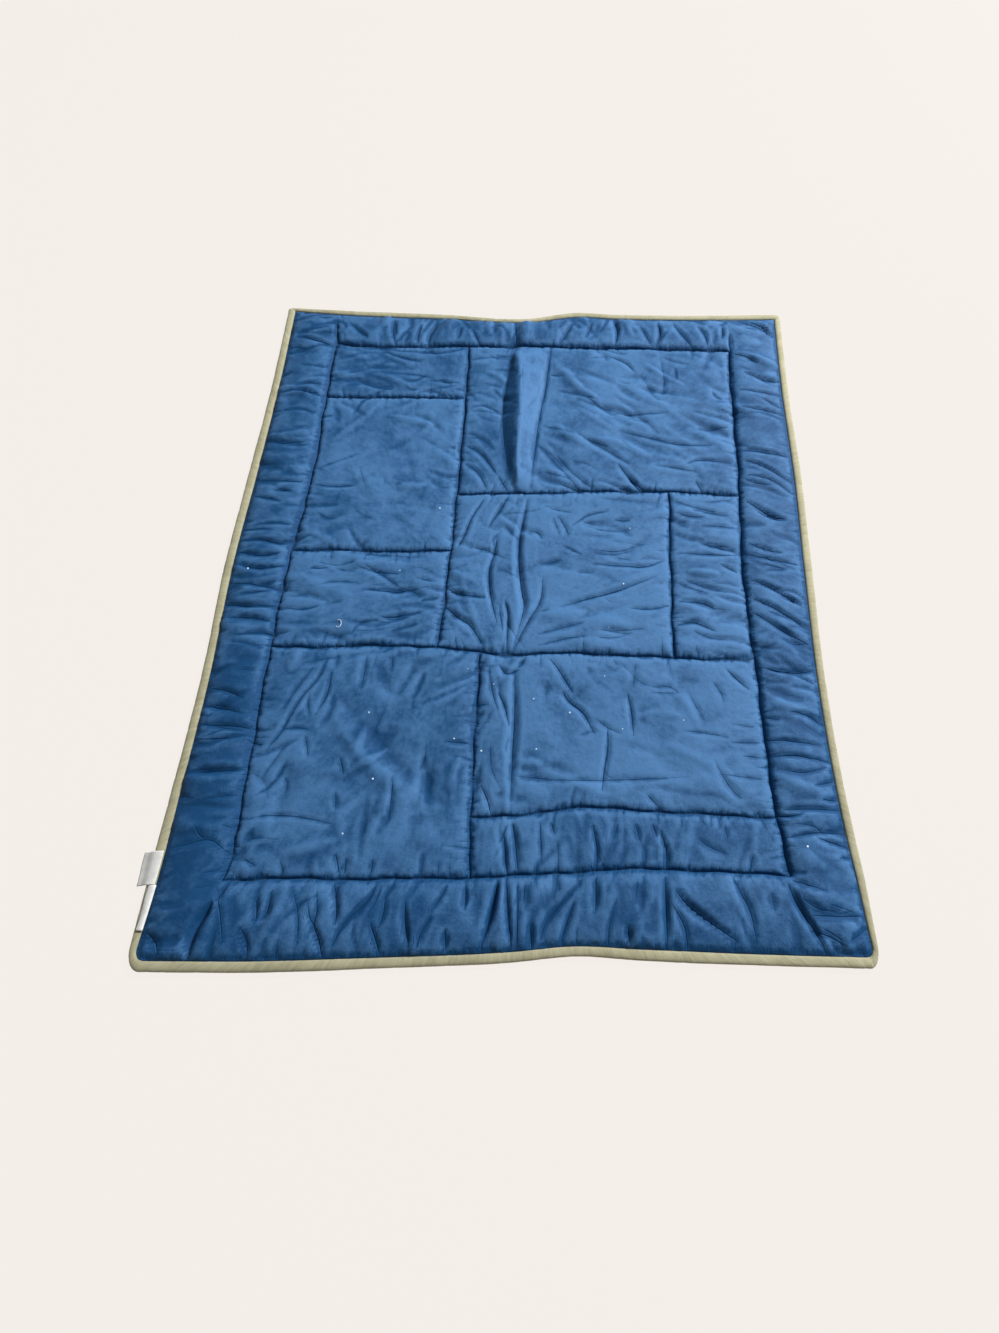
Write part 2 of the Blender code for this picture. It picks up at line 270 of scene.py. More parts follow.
@dataclass(frozen=True)
class CottonFinish:
    """Plain woven navy cotton, paler on its rubbed crests, with shade painted into its colour in
    hollows, seam grooves and creases.

    The pitch and the relief are in metres and crease_reach in millimetres. Each colour weight is a
    share of the way from deep to worn, and each height a share of the relief.
    """

    deep: tuple[float, float, float] = (0.003, 0.060, 0.178)
    worn: tuple[float, float, float] = (0.055, 0.171, 0.376)
    thread_pitch: float = 0.0006
    roughness: float = 0.62
    crease_reach: float = 1.4
    middle_wear: float = 0.47
    mottle_wear: float = 1.35
    patch_wear: float = 1.2
    slub_wear: float = 0.5
    grit_wear: float = 0.5
    # crest lightens rubbed crests and paints shade into hollows; crease paints shade along creases
    crest_wear_and_hollow_shade: float = 0.3
    crease_painted_shade: float = 0.55
    relief: float = 0.0011
    weave_height: float = 0.06
    slub_height: float = 0.2
    patch_height: float = 0.8
    crease_height: float = 1.5

    def _creases(self, graph: Graph) -> Sock:
        """Share of crease, 1 in the middle of a sharp one, from the body's own lines."""
        total: Any = 0.0
        for number in range(CREASE_LAYERS):
            pair = graph.attribute(f"crease_{number}", "Vector")
            away = graph.share(pair, "X").magnitude()
            total = total + (1.0 - away.rise(0.0, self.crease_reach)) * graph.share(pair, "Y")
        return total

    def make(self) -> bpy.types.Material:
        """Weave, slubs, mottling and rubbed crests over the cut cloth's own coordinates, with shade
        painted into the colour in hollows, seam grooves, creases and panel by panel.
        """
        graph = Graph("navy_cotton")
        place = graph.cut()
        solid = graph.solid()
        across, along = graph.share(place, "X"), graph.share(place, "Y")
        turn = 2 * math.pi / self.thread_pitch
        weave = (across * turn).sine() * (along * turn).sine()
        warp = graph.noise(graph.stretched(place, (1400.0, 90.0, 1.0)), 1.0, 2.0)
        weft = graph.noise(graph.stretched(place, (90.0, 1400.0, 1.0)), 1.0, 2.0)
        slub = (warp + weft) * 0.5
        mottle = graph.noise(solid, 9.0, 4.0, 0.6)
        patch = graph.noise(solid, 42.0, 3.0, 0.55)
        grit = graph.noise(solid, 170.0, 2.0, 0.6)
        # fade: per-panel painted light and shade, with painted shade in the seam grooves and on the
        # tuck's face
        wear_and_painted_shade = self.middle_wear + graph.attribute("fade") + (mottle - 0.5) * self.mottle_wear
        wear_and_painted_shade = wear_and_painted_shade + (patch - 0.5) * self.patch_wear + (slub - 0.5) * self.slub_wear
        # crest: lighter on crests from rubbing, darker in hollows and seam grooves as painted shade
        wear_and_painted_shade = wear_and_painted_shade + (grit - 0.5) * self.grit_wear + graph.attribute("crest") * self.crest_wear_and_hollow_shade
        creases = self._creases(graph)
        # painted shade: the colour darkens along each sharp crease line
        wear_and_painted_shade = wear_and_painted_shade - creases * self.crease_painted_shade
        colour = graph.mix(wear_and_painted_shade.rise(0.0, 1.0), rgba(self.deep), rgba(self.worn))
        crinkle = graph.noise(solid, 130.0, 3.0, 0.55)
        height = weave * self.weave_height + slub * self.slub_height + crinkle
        height = height + patch * self.patch_height - creases * self.crease_height
        graph.bump(height, self.relief, 0.8)
        rough = self.roughness + (patch - 0.5) * 0.2
        return graph.finish(
            {
                "Base Color": colour,
                "Roughness": rough,
                "Sheen Weight": 0.04,
                "Sheen Roughness": 0.5,
                "Sheen Tint": (0.45, 0.7, 1.0, 1.0),
                "Specular IOR Level": 0.22,
            }
        )


@dataclass(frozen=True)
class ThreadAndSeamShadeFinish:
    """Dark navy sewing thread, made darker than the cloth so that it also paints shade into the seam
    grooves.
    """

    dark: tuple[float, float, float] = (0.004, 0.018, 0.050)
    light: tuple[float, float, float] = (0.012, 0.050, 0.120)

    def make(self) -> bpy.types.Material:
        """Twisted fibre, a little uneven in colour."""
        graph = Graph("navy_thread_and_seam_shade")
        solid = graph.solid()
        twist = graph.noise(solid, 700.0, 2.0)
        graph.bump(twist, 0.0002, 0.6)
        colour = graph.mix(twist, rgba(self.dark), rgba(self.light))
        return graph.finish({"Base Color": colour, "Roughness": 0.7})


@dataclass(frozen=True)
class BindingFinish:
    """Khaki bias strip with a slanting weave and uneven streaks."""

    shade: tuple[float, float, float] = (0.29, 0.275, 0.165)
    light: tuple[float, float, float] = (0.50, 0.475, 0.315)
    thread_pitch: float = 0.0006
    roughness: float = 0.8

    def make(self) -> bpy.types.Material:
        """Bias weave and streaks over the strip's own coordinates."""
        graph = Graph("khaki_binding")
        place = graph.cut()
        solid = graph.solid()
        across, along = graph.share(place, "X"), graph.share(place, "Y")
        turn = 2 * math.pi / self.thread_pitch
        weave = ((across + along) * turn).sine() * ((across - along) * turn).sine()
        streak = graph.noise(graph.stretched(place, (60.0, 300.0, 1.0)), 1.0, 3.0)
        mottle = graph.noise(solid, 30.0, 3.0, 0.6)
        tone = 0.55 + (mottle - 0.5) * 0.8 + (streak - 0.5) * 0.9
        colour = graph.mix(tone.rise(0.0, 1.0), rgba(self.shade), rgba(self.light))
        graph.bump(weave * 0.3 + streak * 1.2, 0.0004, 0.6)
        return graph.finish(
            {
                "Base Color": colour,
                "Roughness": self.roughness + (streak - 0.5) * 0.15,
                "Sheen Weight": 0.15,
                "Sheen Roughness": 0.5,
                "Specular IOR Level": 0.3,
            }
        )


@dataclass(frozen=True)
class LabelFinish:
    """White satin label cloth, bare of any print."""

    colour: tuple[float, float, float] = (0.86, 0.865, 0.84)
    shade: tuple[float, float, float] = (0.70, 0.71, 0.69)
    rib_pitch: float = 0.0008

    def make(self) -> bpy.types.Material:
        """Fine ribs and faint soiling."""
        graph = Graph("white_label")
        place = graph.cut()
        along = graph.share(place, "Y")
        ribs = (along * (2 * math.pi / self.rib_pitch)).sine()
        soil = graph.noise(place, 90.0, 4.0, 0.6)
        colour = graph.mix(soil.rise(0.45, 0.75), rgba(self.colour), rgba(self.shade))
        graph.bump(ribs * 0.4 + soil, 0.00025, 0.5)
        return graph.finish(
            {"Base Color": colour, "Roughness": 0.55 + (soil - 0.5) * 0.2}
        )


@dataclass(frozen=True)
class LintFinish:
    """Fuzzy white fibre."""

    colour: tuple[float, float, float] = (0.50, 0.76, 1.0)
    light: tuple[float, float, float] = (0.80, 0.92, 1.0)

    def make(self) -> bpy.types.Material:
        """Slightly uneven pale fibre."""
        graph = Graph("lint")
        solid = graph.solid()
        fuzz = graph.noise(solid, 900.0, 2.0)
        colour = graph.mix(fuzz, rgba(self.colour), rgba(self.light))
        graph.bump(fuzz, 0.0003, 0.6)
        return graph.finish({"Base Color": colour, "Roughness": 0.9})


@dataclass(frozen=True)
class FloorFinish:
    """Plain pale floor, mostly lit from within so that it stays even."""

    colour: tuple[float, float, float] = (0.02, 0.019, 0.018)
    glow: tuple[float, float, float] = (0.888, 0.840, 0.801)

    def make(self) -> bpy.types.Material:
        """Even cream with a very faint mottle."""
        graph = Graph("pale_floor")
        solid = graph.solid()
        mottle = graph.noise(solid, 3.0, 2.0)
        darker = tuple(part * 0.985 for part in self.colour)
        colour = graph.mix(mottle, rgba(self.colour), rgba(darker))
        return graph.finish(
            {
                "Base Color": colour,
                "Roughness": 0.9,
                "Specular IOR Level": 0.0,
                "Emission Color": rgba(self.glow),
                "Emission Strength": 1.0,
            }
        )


# The laid plan


@dataclass(frozen=True)
class Guide:
    """A line drawn on the cloth: its cut place, and where it lies at each station."""

    name: str
    cut: float
    lies: tuple[float, ...]


@dataclass(frozen=True)
class LaidPlan:
    """How the cut cloth lies on the floor, a little skewed and wavy."""

    width: float = 860.0
    length: float = 1085.0
    centre: tuple[float, float] = (-9.03, -7.22)
    corner_radius: tuple[tuple[int, int, float], ...] = (
        # side along u, side along v, radius
        (-1, 1, 9.0),
        (1, 1, 9.0),
        (-1, -1, 27.0),
        (1, -1, 25.0),
    )
    stations_along: tuple[float, ...] = (-540, -440, -360, -180, 0, 180, 360, 540)
    along: tuple[Guide, ...] = (
        Guide("left_edge", -430, (-442, -439, -436.5, -431.5, -435, -430.5, -426, -427)),
        Guide("left_seam", -337, (-378, -345, -343.5, -344.5, -342, -330.5, -332, -330)),
        Guide("post_left", -107, (-118, -118, -117, -116, -108, -104, -103, -107)),
        Guide("post_low", -53, (-52, -53, -55, -55.5, -51, -50, -50, -50)),
        Guide("tuck", -30, (-27, -29, -31, -33, -28, -20, -29, -31)),
        Guide("fold", 5, (-2, 0, -5, -9.5, -6, 9, 26, 37)),
        Guide("post_right", 214, (210, 210, 209.5, 210, 214, 219.5, 221, 222)),
        Guide("right_seam", 327, (378, 336, 326, 321.5, 318, 328.5, 333, 340)),
        Guide("right_edge", 430, (427, 424, 418.5, 414, 420, 426.5, 428, 435)),
    )
    stations_across: tuple[float, ...] = (-440, -300, -150, 0, 75, 150, 300, 440)
    across: tuple[Guide, ...] = (
        Guide("bottom_edge", -542.5, (-556, -554.5, -547, -538, -530, -533, -536, -537)),
        Guide("bottom_seam", -440, (-456, -449, -446.5, -440, -434, -429, -432.5, -434)),
        Guide("bar_5", -361, (-365, -366, -367, -366, -354, -356, -362, -360)),
        Guide("bar_4", -136, (-132, -133.5, -129, -140, -136, -139, -142, -138)),
        Guide("bar_3", 28, (27, 28, 28, 34, 24, 18, 14, 12)),
        Guide("bar_2", 138, (134, 134, 134, 137.5, 141.5, 144, 141, 128)),
        Guide("bar_1", 331, (330, 330, 331, 331, 331, 331, 330, 328)),
        Guide("top_seam", 450, (488, 449, 449, 451, 450, 449, 447, 446)),
        Guide("top_edge", 542.5, (542.5, 536, 530, 523, 539, 535.5, 536, 541)),
    )

    def cut_place(self, name: str) -> float:
        """Cut place of a named line."""
        return {guide.name: guide.cut for guide in self.along + self.across}[name]

    @staticmethod
    def smooth(stations: Sequence[float], values: Sequence[float], at: Array) -> Array:
        """Cubic Hermite curve through the values, its slopes the centred differences."""
        places = np.asarray(stations, float)
        heights = np.asarray(values, float)
        slopes = np.gradient(heights, places)
        i = np.clip(np.searchsorted(places, at) - 1, 0, len(places) - 2)
        span = places[i + 1] - places[i]
        t = (at - places[i]) / span
        start = (1 + 2 * t) * (1 - t) ** 2 * heights[i] + t * (1 - t) ** 2 * span * slopes[i]
        end = t**2 * (3 - 2 * t) * heights[i + 1] + t**2 * (t - 1) * span * slopes[i + 1]
        return start + end

    def _between(
        self, guides: Sequence[Guide], stations: Sequence[float], cut: Array, at: Array
    ) -> Array:
        """Where a cut place lies: a share of the way between the guides beside it."""
        cuts = np.array([guide.cut for guide in guides], float)
        lies = np.array([self.smooth(stations, guide.lies, at) for guide in guides])
        i = np.clip(np.searchsorted(cuts, cut) - 1, 0, len(cuts) - 2)
        share = (cut - cuts[i]) / (cuts[i + 1] - cuts[i])
        points = np.arange(len(cut))
        return lies[i, points] * (1 - share) + lies[i + 1, points] * share

    def _round(self, u: Array, v: Array) -> tuple[Array, Array]:
        """Turn each corner's nested squares into nested arcs of the same reach."""
        u, v = u.copy(), v.copy()
        for side_u, side_v, radius in self.corner_radius:
            centre_u, centre_v = self.width / 2 - radius, self.length / 2 - radius
            p, q = side_u * u - centre_u, side_v * v - centre_v
            inside = (p > 0) & (q > 0)
            p, q = p[inside], q[inside]
            reach = np.maximum(p, q)
            angle = np.where(p >= q, q / reach, 2 - p / reach) * np.pi / 4
            u[inside] = side_u * (centre_u + reach * np.cos(angle))
            v[inside] = side_v * (centre_v + reach * np.sin(angle))
        return u, v

    def lay(self, u: Array, v: Array) -> tuple[Array, Array]:
        """Carry cut points to the floor.

        Args:
            u: Cut places across, in millimetres.
            v: Cut places along, in millimetres.

        Returns:
            The laid x and y, in millimetres about the plan's own middle.
        """
        u, v = self._round(np.asarray(u, float), np.asarray(v, float))
        x, y = u, v
        for _ in range(6):
            x = self._between(self.along, self.stations_along, u, y)
            y = self._between(self.across, self.stations_across, v, x)
        return x, y

    def place(self, x: Array, y: Array, z: Array) -> Array:
        """Points in metres about the part's origin of laid millimetres."""
        flat = (np.asarray(x) - self.centre[0], np.asarray(y) - self.centre[1])
        return np.stack([*flat, np.asarray(z)], axis=-1) * MM


# Mesh helpers


def make_mesh(
    name: str,
    points: Array,
    faces: Iterable[Sequence[int]],
    material: bpy.types.Material,
    cut: Array | None = None,
) -> bpy.types.Object:
    """Make an object from worked-out points.

    Args:
        name: The object's name.
        points: Points in metres.
        faces: Corner numbers of each face, outward by the right hand.
        material: Its finish.
        cut: Cut coordinates in metres for each point, kept as the UV map "cut".

    Returns:
        The object, at the origin.
    """
    mesh = bpy.data.meshes.new(name)
    mesh.from_pydata(points.tolist(), [], [list(face) for face in faces])
    mesh.update()
    if cut is not None:
        corner = np.empty(len(mesh.loops), dtype=np.int32)
        mesh.loops.foreach_get("vertex_index", corner)
        layer = mesh.uv_layers.new(name="cut")
        layer.data.foreach_set("uv", cut[corner].astype(np.float32).ravel())
    mesh.shade_smooth()
    mesh.materials.append(material)
    thing = bpy.data.objects.new(name, mesh)
    bpy.context.scene.collection.objects.link(thing)
    return thing


def grid_faces(
    rows: int, columns: int, wrap_rows: bool = False, wrap_columns: bool = False
) -> Array:
    """Quads of a grid of points stored row by row.

    Args:
        rows: Number of rows.
        columns: Number of columns.
        wrap_rows: Whether the last row joins the first.
        wrap_columns: Whether the last column joins the first.

    Returns:
        Corner numbers, four to a face.
    """
    index = np.arange(rows * columns).reshape(rows, columns)
    if wrap_rows:
        index = np.vstack([index, index[:1]])
    if wrap_columns:
        index = np.hstack([index, index[:, :1]])
    corners = (index[:-1, :-1], index[:-1, 1:], index[1:, 1:], index[1:, :-1])
    return np.stack(corners, axis=-1).reshape(-1, 4)


def grid_rim(index: Array) -> Array:
    """Numbers along the edge of a grid, once round from its first corner."""
    return np.concatenate([index[0], index[1:, -1], index[-1, -2::-1], index[-2:0:-1, 0]])


def bell(distance: Array) -> Array:
    """Bell curve, 1 at no distance."""
    return np.exp(-(distance**2))


# The padded body


@dataclass(frozen=True)
class Seam:
    """A straight line of quilting between two named crossings."""

    name: str
    start: tuple[str, str]
    end: tuple[str, str]


Row = tuple[float, float, tuple[tuple[float, float], ...]]

# left border, from the top down
LEFT_BORDER: tuple[Row, ...] = (
    # half width, rise, route
    (3, -2.6, ((-403, 467), (-367, 456), (-335, 444))),
    (4, -3.6, ((-407, 337), (-375, 340), (-336, 325))),
    (3, -1.6, ((-396, 296), (-364, 297), (-338, 287))),
    (4, -2.6, ((-410, 233), (-381, 227), (-350, 229))),
    (3, -2.2, ((-411, 153), (-377, 151), (-338, 149))),
    (3, -2, ((-414, 124), (-390, 118), (-366, 110))),
    (3, -1.6, ((-408, 68), (-371, 71), (-344, 69))),
    (3, -2.8, ((-421, 41), (-381, 41), (-346, 33))),
    (3, -2.6, ((-421, 23), (-383, 15), (-351, 20))),
    (4, -3.8, ((-417, 1), (-383, -8), (-340, -2))),
    (3, -2.2, ((-422, -33), (-378, -37), (-341, -45))),
    (4, -4, ((-424, -67), (-389, -71), (-344, -71))),
    (3, -2.4, ((-417, -91), (-382, -90), (-343, -98))),
    (3, -2.4, ((-395, -119), (-354, -114), (-336, -118))),
    (3, -2, ((-418, -199), (-392, -204), (-363, -215))),
    (3.5, -3, ((-417, -225), (-394, -228), (-359, -238))),
    (3, -1.8, ((-422, -250), (-388, -256), (-348, -263))),
    (3.5, -2.2, ((-422, -273), (-385, -272), (-347, -266))),
    (5, -6.5, ((-422, -319), (-398, -317), (-370, -315), (-346, -313))),
    (3, -1.6, ((-388, -354), (-363, -349), (-348, -347))),
    (2.5, -1.2, ((-393, -386), (-386, -398), (-376, -404))),
    (3, -1.8, ((-420, -416), (-400, -411), (-371, -405), (-343, -422))),
    (3, -1.4, ((-372, -445), (-357, -442), (-347, -434))),
    (3, -1.4, ((-380, -464), (-363, -460), (-349, -452))),
)

# right border, from the top down
RIGHT_BORDER: tuple[Row, ...] = (
    # half width, rise, route
    (3.5, -3.6, ((339, 436), (362, 428), (381, 411))),
    (4, -3, ((354, 393), (390, 377), (418, 375))),
    (3, -2.2, ((342, 354), (379, 349), (417, 344))),
    (3.5, -2.8, ((341, 315), (379, 311), (418, 301))),
    (4, -3.2, ((336, 226), (373, 222), (415, 215))),
    (3.5, -3, ((336, 206), (370, 192), (416, 158))),
    (3, -2.2, ((339, 176), (375, 167), (413, 139))),
    (3.5, -3, ((331, 128), (360, 105), (392, 92))),
    (3.5, -2.8, ((325, 50), (353, 37), (378, 31))),
    (3, -2.4, ((325, 28), (358, 20), (401, 12))),
    (4, -4, ((326, -15), (360, -32), (402, -60))),
    (3.5, -3.4, ((323, -45), (353, -61), (398, -92))),
    (3.5, -3.2, ((324, -69), (356, -93), (398, -120))),
    (3.5, -3, ((325, -156), (352, -161), (382, -161), (403, -155))),
    (3, -2.6, ((335, -159), (365, -163), (403, -181))),
    (3, -1.8, ((324, -229), (343, -234))),
    (4, -4.4, ((355, -221), (380, -225), (399, -235), (411, -240))),
    (3, -2.6, ((324, -262), (350, -262), (397, -268))),
    (3.5, -3, ((321, -285), (354, -282), (407, -290))),
    (3, -1.6, ((332, -301), (367, -305), (400, -295))),
    (3, -2.6, ((377, -322), (407, -313))),
    (3, -2.4, ((384, -340), (409, -339))),
    (3.5, -3.4, ((332, -354), (370, -352), (407, -353))),
    (3, -2.4, ((325, -361), (341, -362), (360, -358))),
    (3, -2.6, ((325, -391), (372, -382), (409, -381))),
    (3.5, -3.2, ((368, -387), (392, -394), (411, -399))),
    (3, -2.6, ((395, -412), (413, -411))),
    (3.5, -3.2, ((331, -439), (348, -445), (375, -454))),
    (3.5, -3.6, ((350, -481), (379, -481), (414, -480))),
    (4, -4, ((392, -510), (405, -501), (418, -492))),
)

# top border, from the left
TOP_BORDER: tuple[Row, ...] = (
    # half width, rise, route
    (3, -3.4, ((-337, 502), (-331, 469), (-327, 444))),
    (4, -3.2, ((-313, 500), (-292, 476), (-276, 463))),
    (4, -3, ((-236, 509), (-237, 483), (-230, 450))),
    (4, -3.4, ((-189, 496), (-193, 471), (-191, 450))),
    (4, -2.8, ((-161, 502), (-172, 478), (-175, 446))),
    (4, -2.4, ((-120, 491), (-124, 461))),
    (3, -2.4, ((-100, 485), (-93, 467), (-84, 448))),
    (4, -2.6, ((-62, 506), (-63, 474))),
    (3.5, -4.2, ((-28, 516), (-25, 484), (-24, 450))),
    (5, -3.8, ((72, 507), (61, 482), (47, 451))),
    (4, -1.8, ((106, 507), (93, 465))),
    (3.5, -3.8, ((143, 524), (149, 490), (144, 451))),
    (4, -2, ((188, 500), (196, 478), (205, 452))),
    (4, -3.2, ((219, 513), (221, 479), (211, 445))),
    (4, -2.6, ((245, 510), (258, 480), (277, 447))),
    (4, -2.6, ((287, 505), (298, 477), (302, 448))),
    (3, -3, ((330, 502), (327, 469))),
    (3, -4.2, ((340, 481), (339, 442))),
    (3.5, -3, ((354, 526), (379, 512), (411, 482))),
    (3, -2.6, ((375, 523), (399, 500), (420, 475))),
)

# bottom border, from the left
BOTTOM_BORDER: tuple[Row, ...] = (
    # half width, rise, route
    (5, -7.5, ((-352, -474), (-359, -490), (-368, -507), (-372, -528), (-369, -541))),
    (4, -4, ((-337, -452), (-346, -467), (-350, -477))),
    (4, -3, ((-428, -511), (-414, -523), (-406, -538))),
    (4, -2.4, ((-285, -462), (-287, -486), (-293, -498))),
    (4, -2.2, ((-302, -474), (-298, -499))),
    (4, -3.2, ((-315, -506), (-307, -521), (-303, -537))),
    (4, -3.4, ((-231, -502), (-223, -518), (-217, -537))),
    (4, -4.4, ((-214, -452), (-207, -478), (-205, -504))),
    (4, -3.8, ((-161, -451), (-170, -472), (-186, -489), (-199, -505), (-207, -527))),
    (3, -2.4, ((-140, -450), (-148, -463), (-155, -477))),
    (4, -3.6, ((-126, -471), (-124, -500), (-118, -523))),
    (4, -2.8, ((-165, -498), (-157, -517), (-151, -533))),
    (3, -2.4, ((-77, -453), (-86, -470), (-96, -485))),
    (4, -3, ((-92, -488), (-105, -509), (-109, -528))),
    (3.5, -3.4, ((-56, -451), (-55, -481))),
    (4, -2.6, ((-77, -504), (-75, -528))),
    (4, -4.2, ((-17, -446), (-24, -486), (-35, -523))),
    (4, -3.4, ((22, -494), (24, -525))),
    (4, -2.8, ((84, -444), (60, -471), (40, -494), (34, -515))),
    (4, -3.6, ((75, -467), (64, -495), (57, -519))),
    (4, -3.8, ((99, -440), (99, -464), (98, -482))),
    (4, -3, ((136, -495), (138, -518))),
    (4, -1.8, ((149, -443), (145, -472))),
    (4, -4.4, ((182, -438), (182, -480), (181, -515))),
    (4.5, -4.6, ((193, -454), (207, -471), (232, -490), (265, -513))),
    (5, -3, ((263, -440), (273, -461), (281, -481), (285, -517))),
    (4, -3.8, ((327, -442), (335, -466), (351, -494), (363, -517))),
    (4, -1.6, ((15, -448), (13, -474))),
    (5, -1.6, ((306, -455), (309, -478))),
)

# middle and upper panels
UPPER_PANELS: tuple[Row, ...] = (
    # half width, rise, route
    (3, -2.2, ((36, 440), (31, 400), (27, 350), (20, 300), (14, 240), (7, 141))),
    (2.5, -1.2, ((-26, 436), (-38, 350), (-41, 300), (-37, 240), (-22, 144))),
    (3, -3.2, ((-61, 125), (-78, 92), (-89, 56), (-100, 31))),
    (3, -2.8, ((-25, 131), (-34, 112), (-46, 88), (-53, 72))),
    (3.5, -3.4, ((-39, 57), (-43, 25), (-49, -5), (-45, -47), (-32, -100))),
    (4.5, -4.6, ((5, 129), (-1, 94), (-7, 48), (-6, 4), (-1, -38), (3, -63), (-3, -100), (-10, -135))),
    (3.5, -3.8, ((29, -12), (26, -54), (12, -83), (-1, -111), (-9, -135))),
    (3.5, -3.6, ((-108, -36), (-88, -46), (-45, -52))),
    (4, -2.8, ((-110, -63), (-93, -81), (-71, -97), (-52, -128))),
    (3, -2.8, ((-24, -55), (-19, -80), (-19, -131))),
    (4, -2.4, ((-97, 228), (-73, 213), (-44, 169))),
    (4, -2.2, ((-97, 193), (-75, 174), (-58, 140))),
    (5, -1.4, ((-97, 259), (-70, 239), (-50, 219))),
    (3, -1.4, ((-94, 307), (-70, 310), (-45, 297))),
    (3, -2, ((-44, 169), (-27, 138))),
    (3, -1.6, ((-328, 147), (-291, 143), (-257, 146))),
    (3, -1.8, ((-338, -73), (-308, -75), (-284, -69))),
    (3, -1.4, ((-243, -2), (-205, -12), (-176, -14))),
    (3, -2, ((-231, -40), (-184, -42), (-138, -37))),
    (3, -1.8, ((-197, -87), (-170, -83), (-135, -76))),
    (3, -0.9, ((-271, 21), (-216, 20), (-165, 18))),
    (3, -1, ((-341, -45), (-312, -46))),
    (3, -1, ((-236, -116), (-224, -96), (-197, -90))),
    (3, -1.4, ((-154, -20), (-121, -28))),
    (3, -1.2, ((-144, -58), (-116, -51))),
    (4, -1, ((-248, 382), (-198, 380), (-156, 370))),
    (3, -1, ((-172, 367), (-114, 362))),
    (4, -0.8, ((-306, 381), (-282, 384))),
    (8, -0.6, ((-277, 98), (-219, 113), (-135, 105))),
    (3, -2.2, ((97, 8), (137, 7), (176, 5), (206, 17))),
    (3.5, -2.8, ((51, -66), (86, -53), (121, -42), (146, -33), (197, -9))),
    (3, -1.8, ((146, -65), (181, -66), (209, -59))),
    (3.5, -3, ((156, 173), (175, 144))),
    (3.5, -2.6, ((53, 156), (87, 140))),
    (3, -1.8, ((9, 66), (20, 62), (28, 49))),
    (4, -1.6, ((49, 95), (61, 72), (66, 56))),
    (3.5, -2.6, ((255, 48), (284, 42), (311, 34))),
    (3, -2.4, ((221, 30), (287, 27), (312, 27))),
    (4, -3, ((216, -53), (252, -54), (273, -64))),
    (4, -2, ((233, -17), (264, -29), (293, -37))),
    (4, -2.4, ((214, -92), (242, -87), (272, -102))),
    (4, -2.4, ((142, 197), (156, 173), (181, 143))),
    (5, -2.2, ((88, 247), (127, 222), (161, 193))),
    (6, -2.4, ((17, 230), (56, 181), (83, 141))),
    (5, -1.8, ((40, 221), (76, 171), (102, 148))),
    (6, -2, ((76, 332), (124, 311), (180, 291), (210, 255))),
    (3, -1.4, ((132, 301), (180, 299), (229, 302))),
    (5, -1.0, ((184, 390), (199, 351), (212, 322))),
    (5, -0.8, ((219, 431), (222, 363), (212, 330))),
    (3, -1.4, ((243, 403), (243, 373))),
    (3.5, -2, ((131, 428), (160, 413), (176, 390))),
    (4, -1.4, ((43, 348), (88, 338), (125, 322))),
    (4, -1.8, ((147, 264), (194, 249), (245, 235), (293, 235))),
    (3, -1.8, ((246, 194), (270, 205), (321, 201))),
    (3, -1.2, ((263, 266), (327, 273))),
    (3, -1.2, ((131, 428), (101, 423))),
    (4, -1.6, ((260, 165), (270, 143))),
    (3, -1.4, ((34, 382), (55, 379))),
    (4, -1.2, ((42, 92), (53, 58))),
    (6, -0.8, ((113, 129), (189, 121))),
    (3, -1.4, ((57, 40), (86, 23))),
    (3, -1, ((75, -7), (104, -5))),
)

# lower left panel
LOWER_LEFT: tuple[Row, ...] = (
    # half width, rise, route
    (3, -2, ((-261, -151), (-271, -182), (-290, -212), (-309, -262), (-324, -286))),
    (4, -1, ((-280, -167), (-299, -201), (-311, -230))),
    (5, -1.8, ((-208, -146), (-210, -173), (-211, -199))),
    (4, -1, ((-174, -146), (-173, -172))),
    (5, -1.2, ((-249, -143), (-249, -170))),
    (3, -1.2, ((-309, -259), (-290, -255), (-268, -258))),
    (3, -1.2, ((-276, -265), (-267, -296))),
    (3, -0.9, ((-294, -321), (-289, -333), (-292, -346))),
    (3, -1.6, ((-333, -379), (-303, -372), (-265, -374), (-221, -383))),
    (3, -0.8, ((-334, -403), (-310, -401), (-286, -403))),
    (4, -1.6, ((-226, -295), (-219, -318))),
    (3, -1.8, ((-96, -270), (-61, -272))),
    (4, -1.8, ((-216, -417), (-209, -443))),
    (4, -1.4, ((-203, -422), (-203, -443))),
    (4, -1.2, ((-170, -422), (-171, -443))),
    (4, -2, ((-352, -273), (-328, -280))),
    (4, -1.4, ((-330, -425), (-309, -435))),
    (8, -1.4, ((-345, -314), (-320, -327), (-309, -353))),
    (4, -1.2, ((-282, -427), (-275, -446))),
)

# lower left panel, broad
LOWER_LEFT_SWELLS: tuple[Row, ...] = (
    # half width, rise, route
    (13, -3.2, ((-245, -200), (-206, -246), (-169, -287), (-127, -323), (-81, -361))),
    (12, 3, ((-252, -225), (-201, -291), (-155, -330), (-164, -366), (-187, -407))),
    (6, -2.4, ((-149, -333), (-156, -366), (-170, -394))),
    (10, -1.6, ((-130, -296), (-92, -336))),
    (16, 1.6, ((-305, -286), (-263, -306), (-213, -351))),
    (12, 1.4, ((-131, -387), (-87, -405))),
)

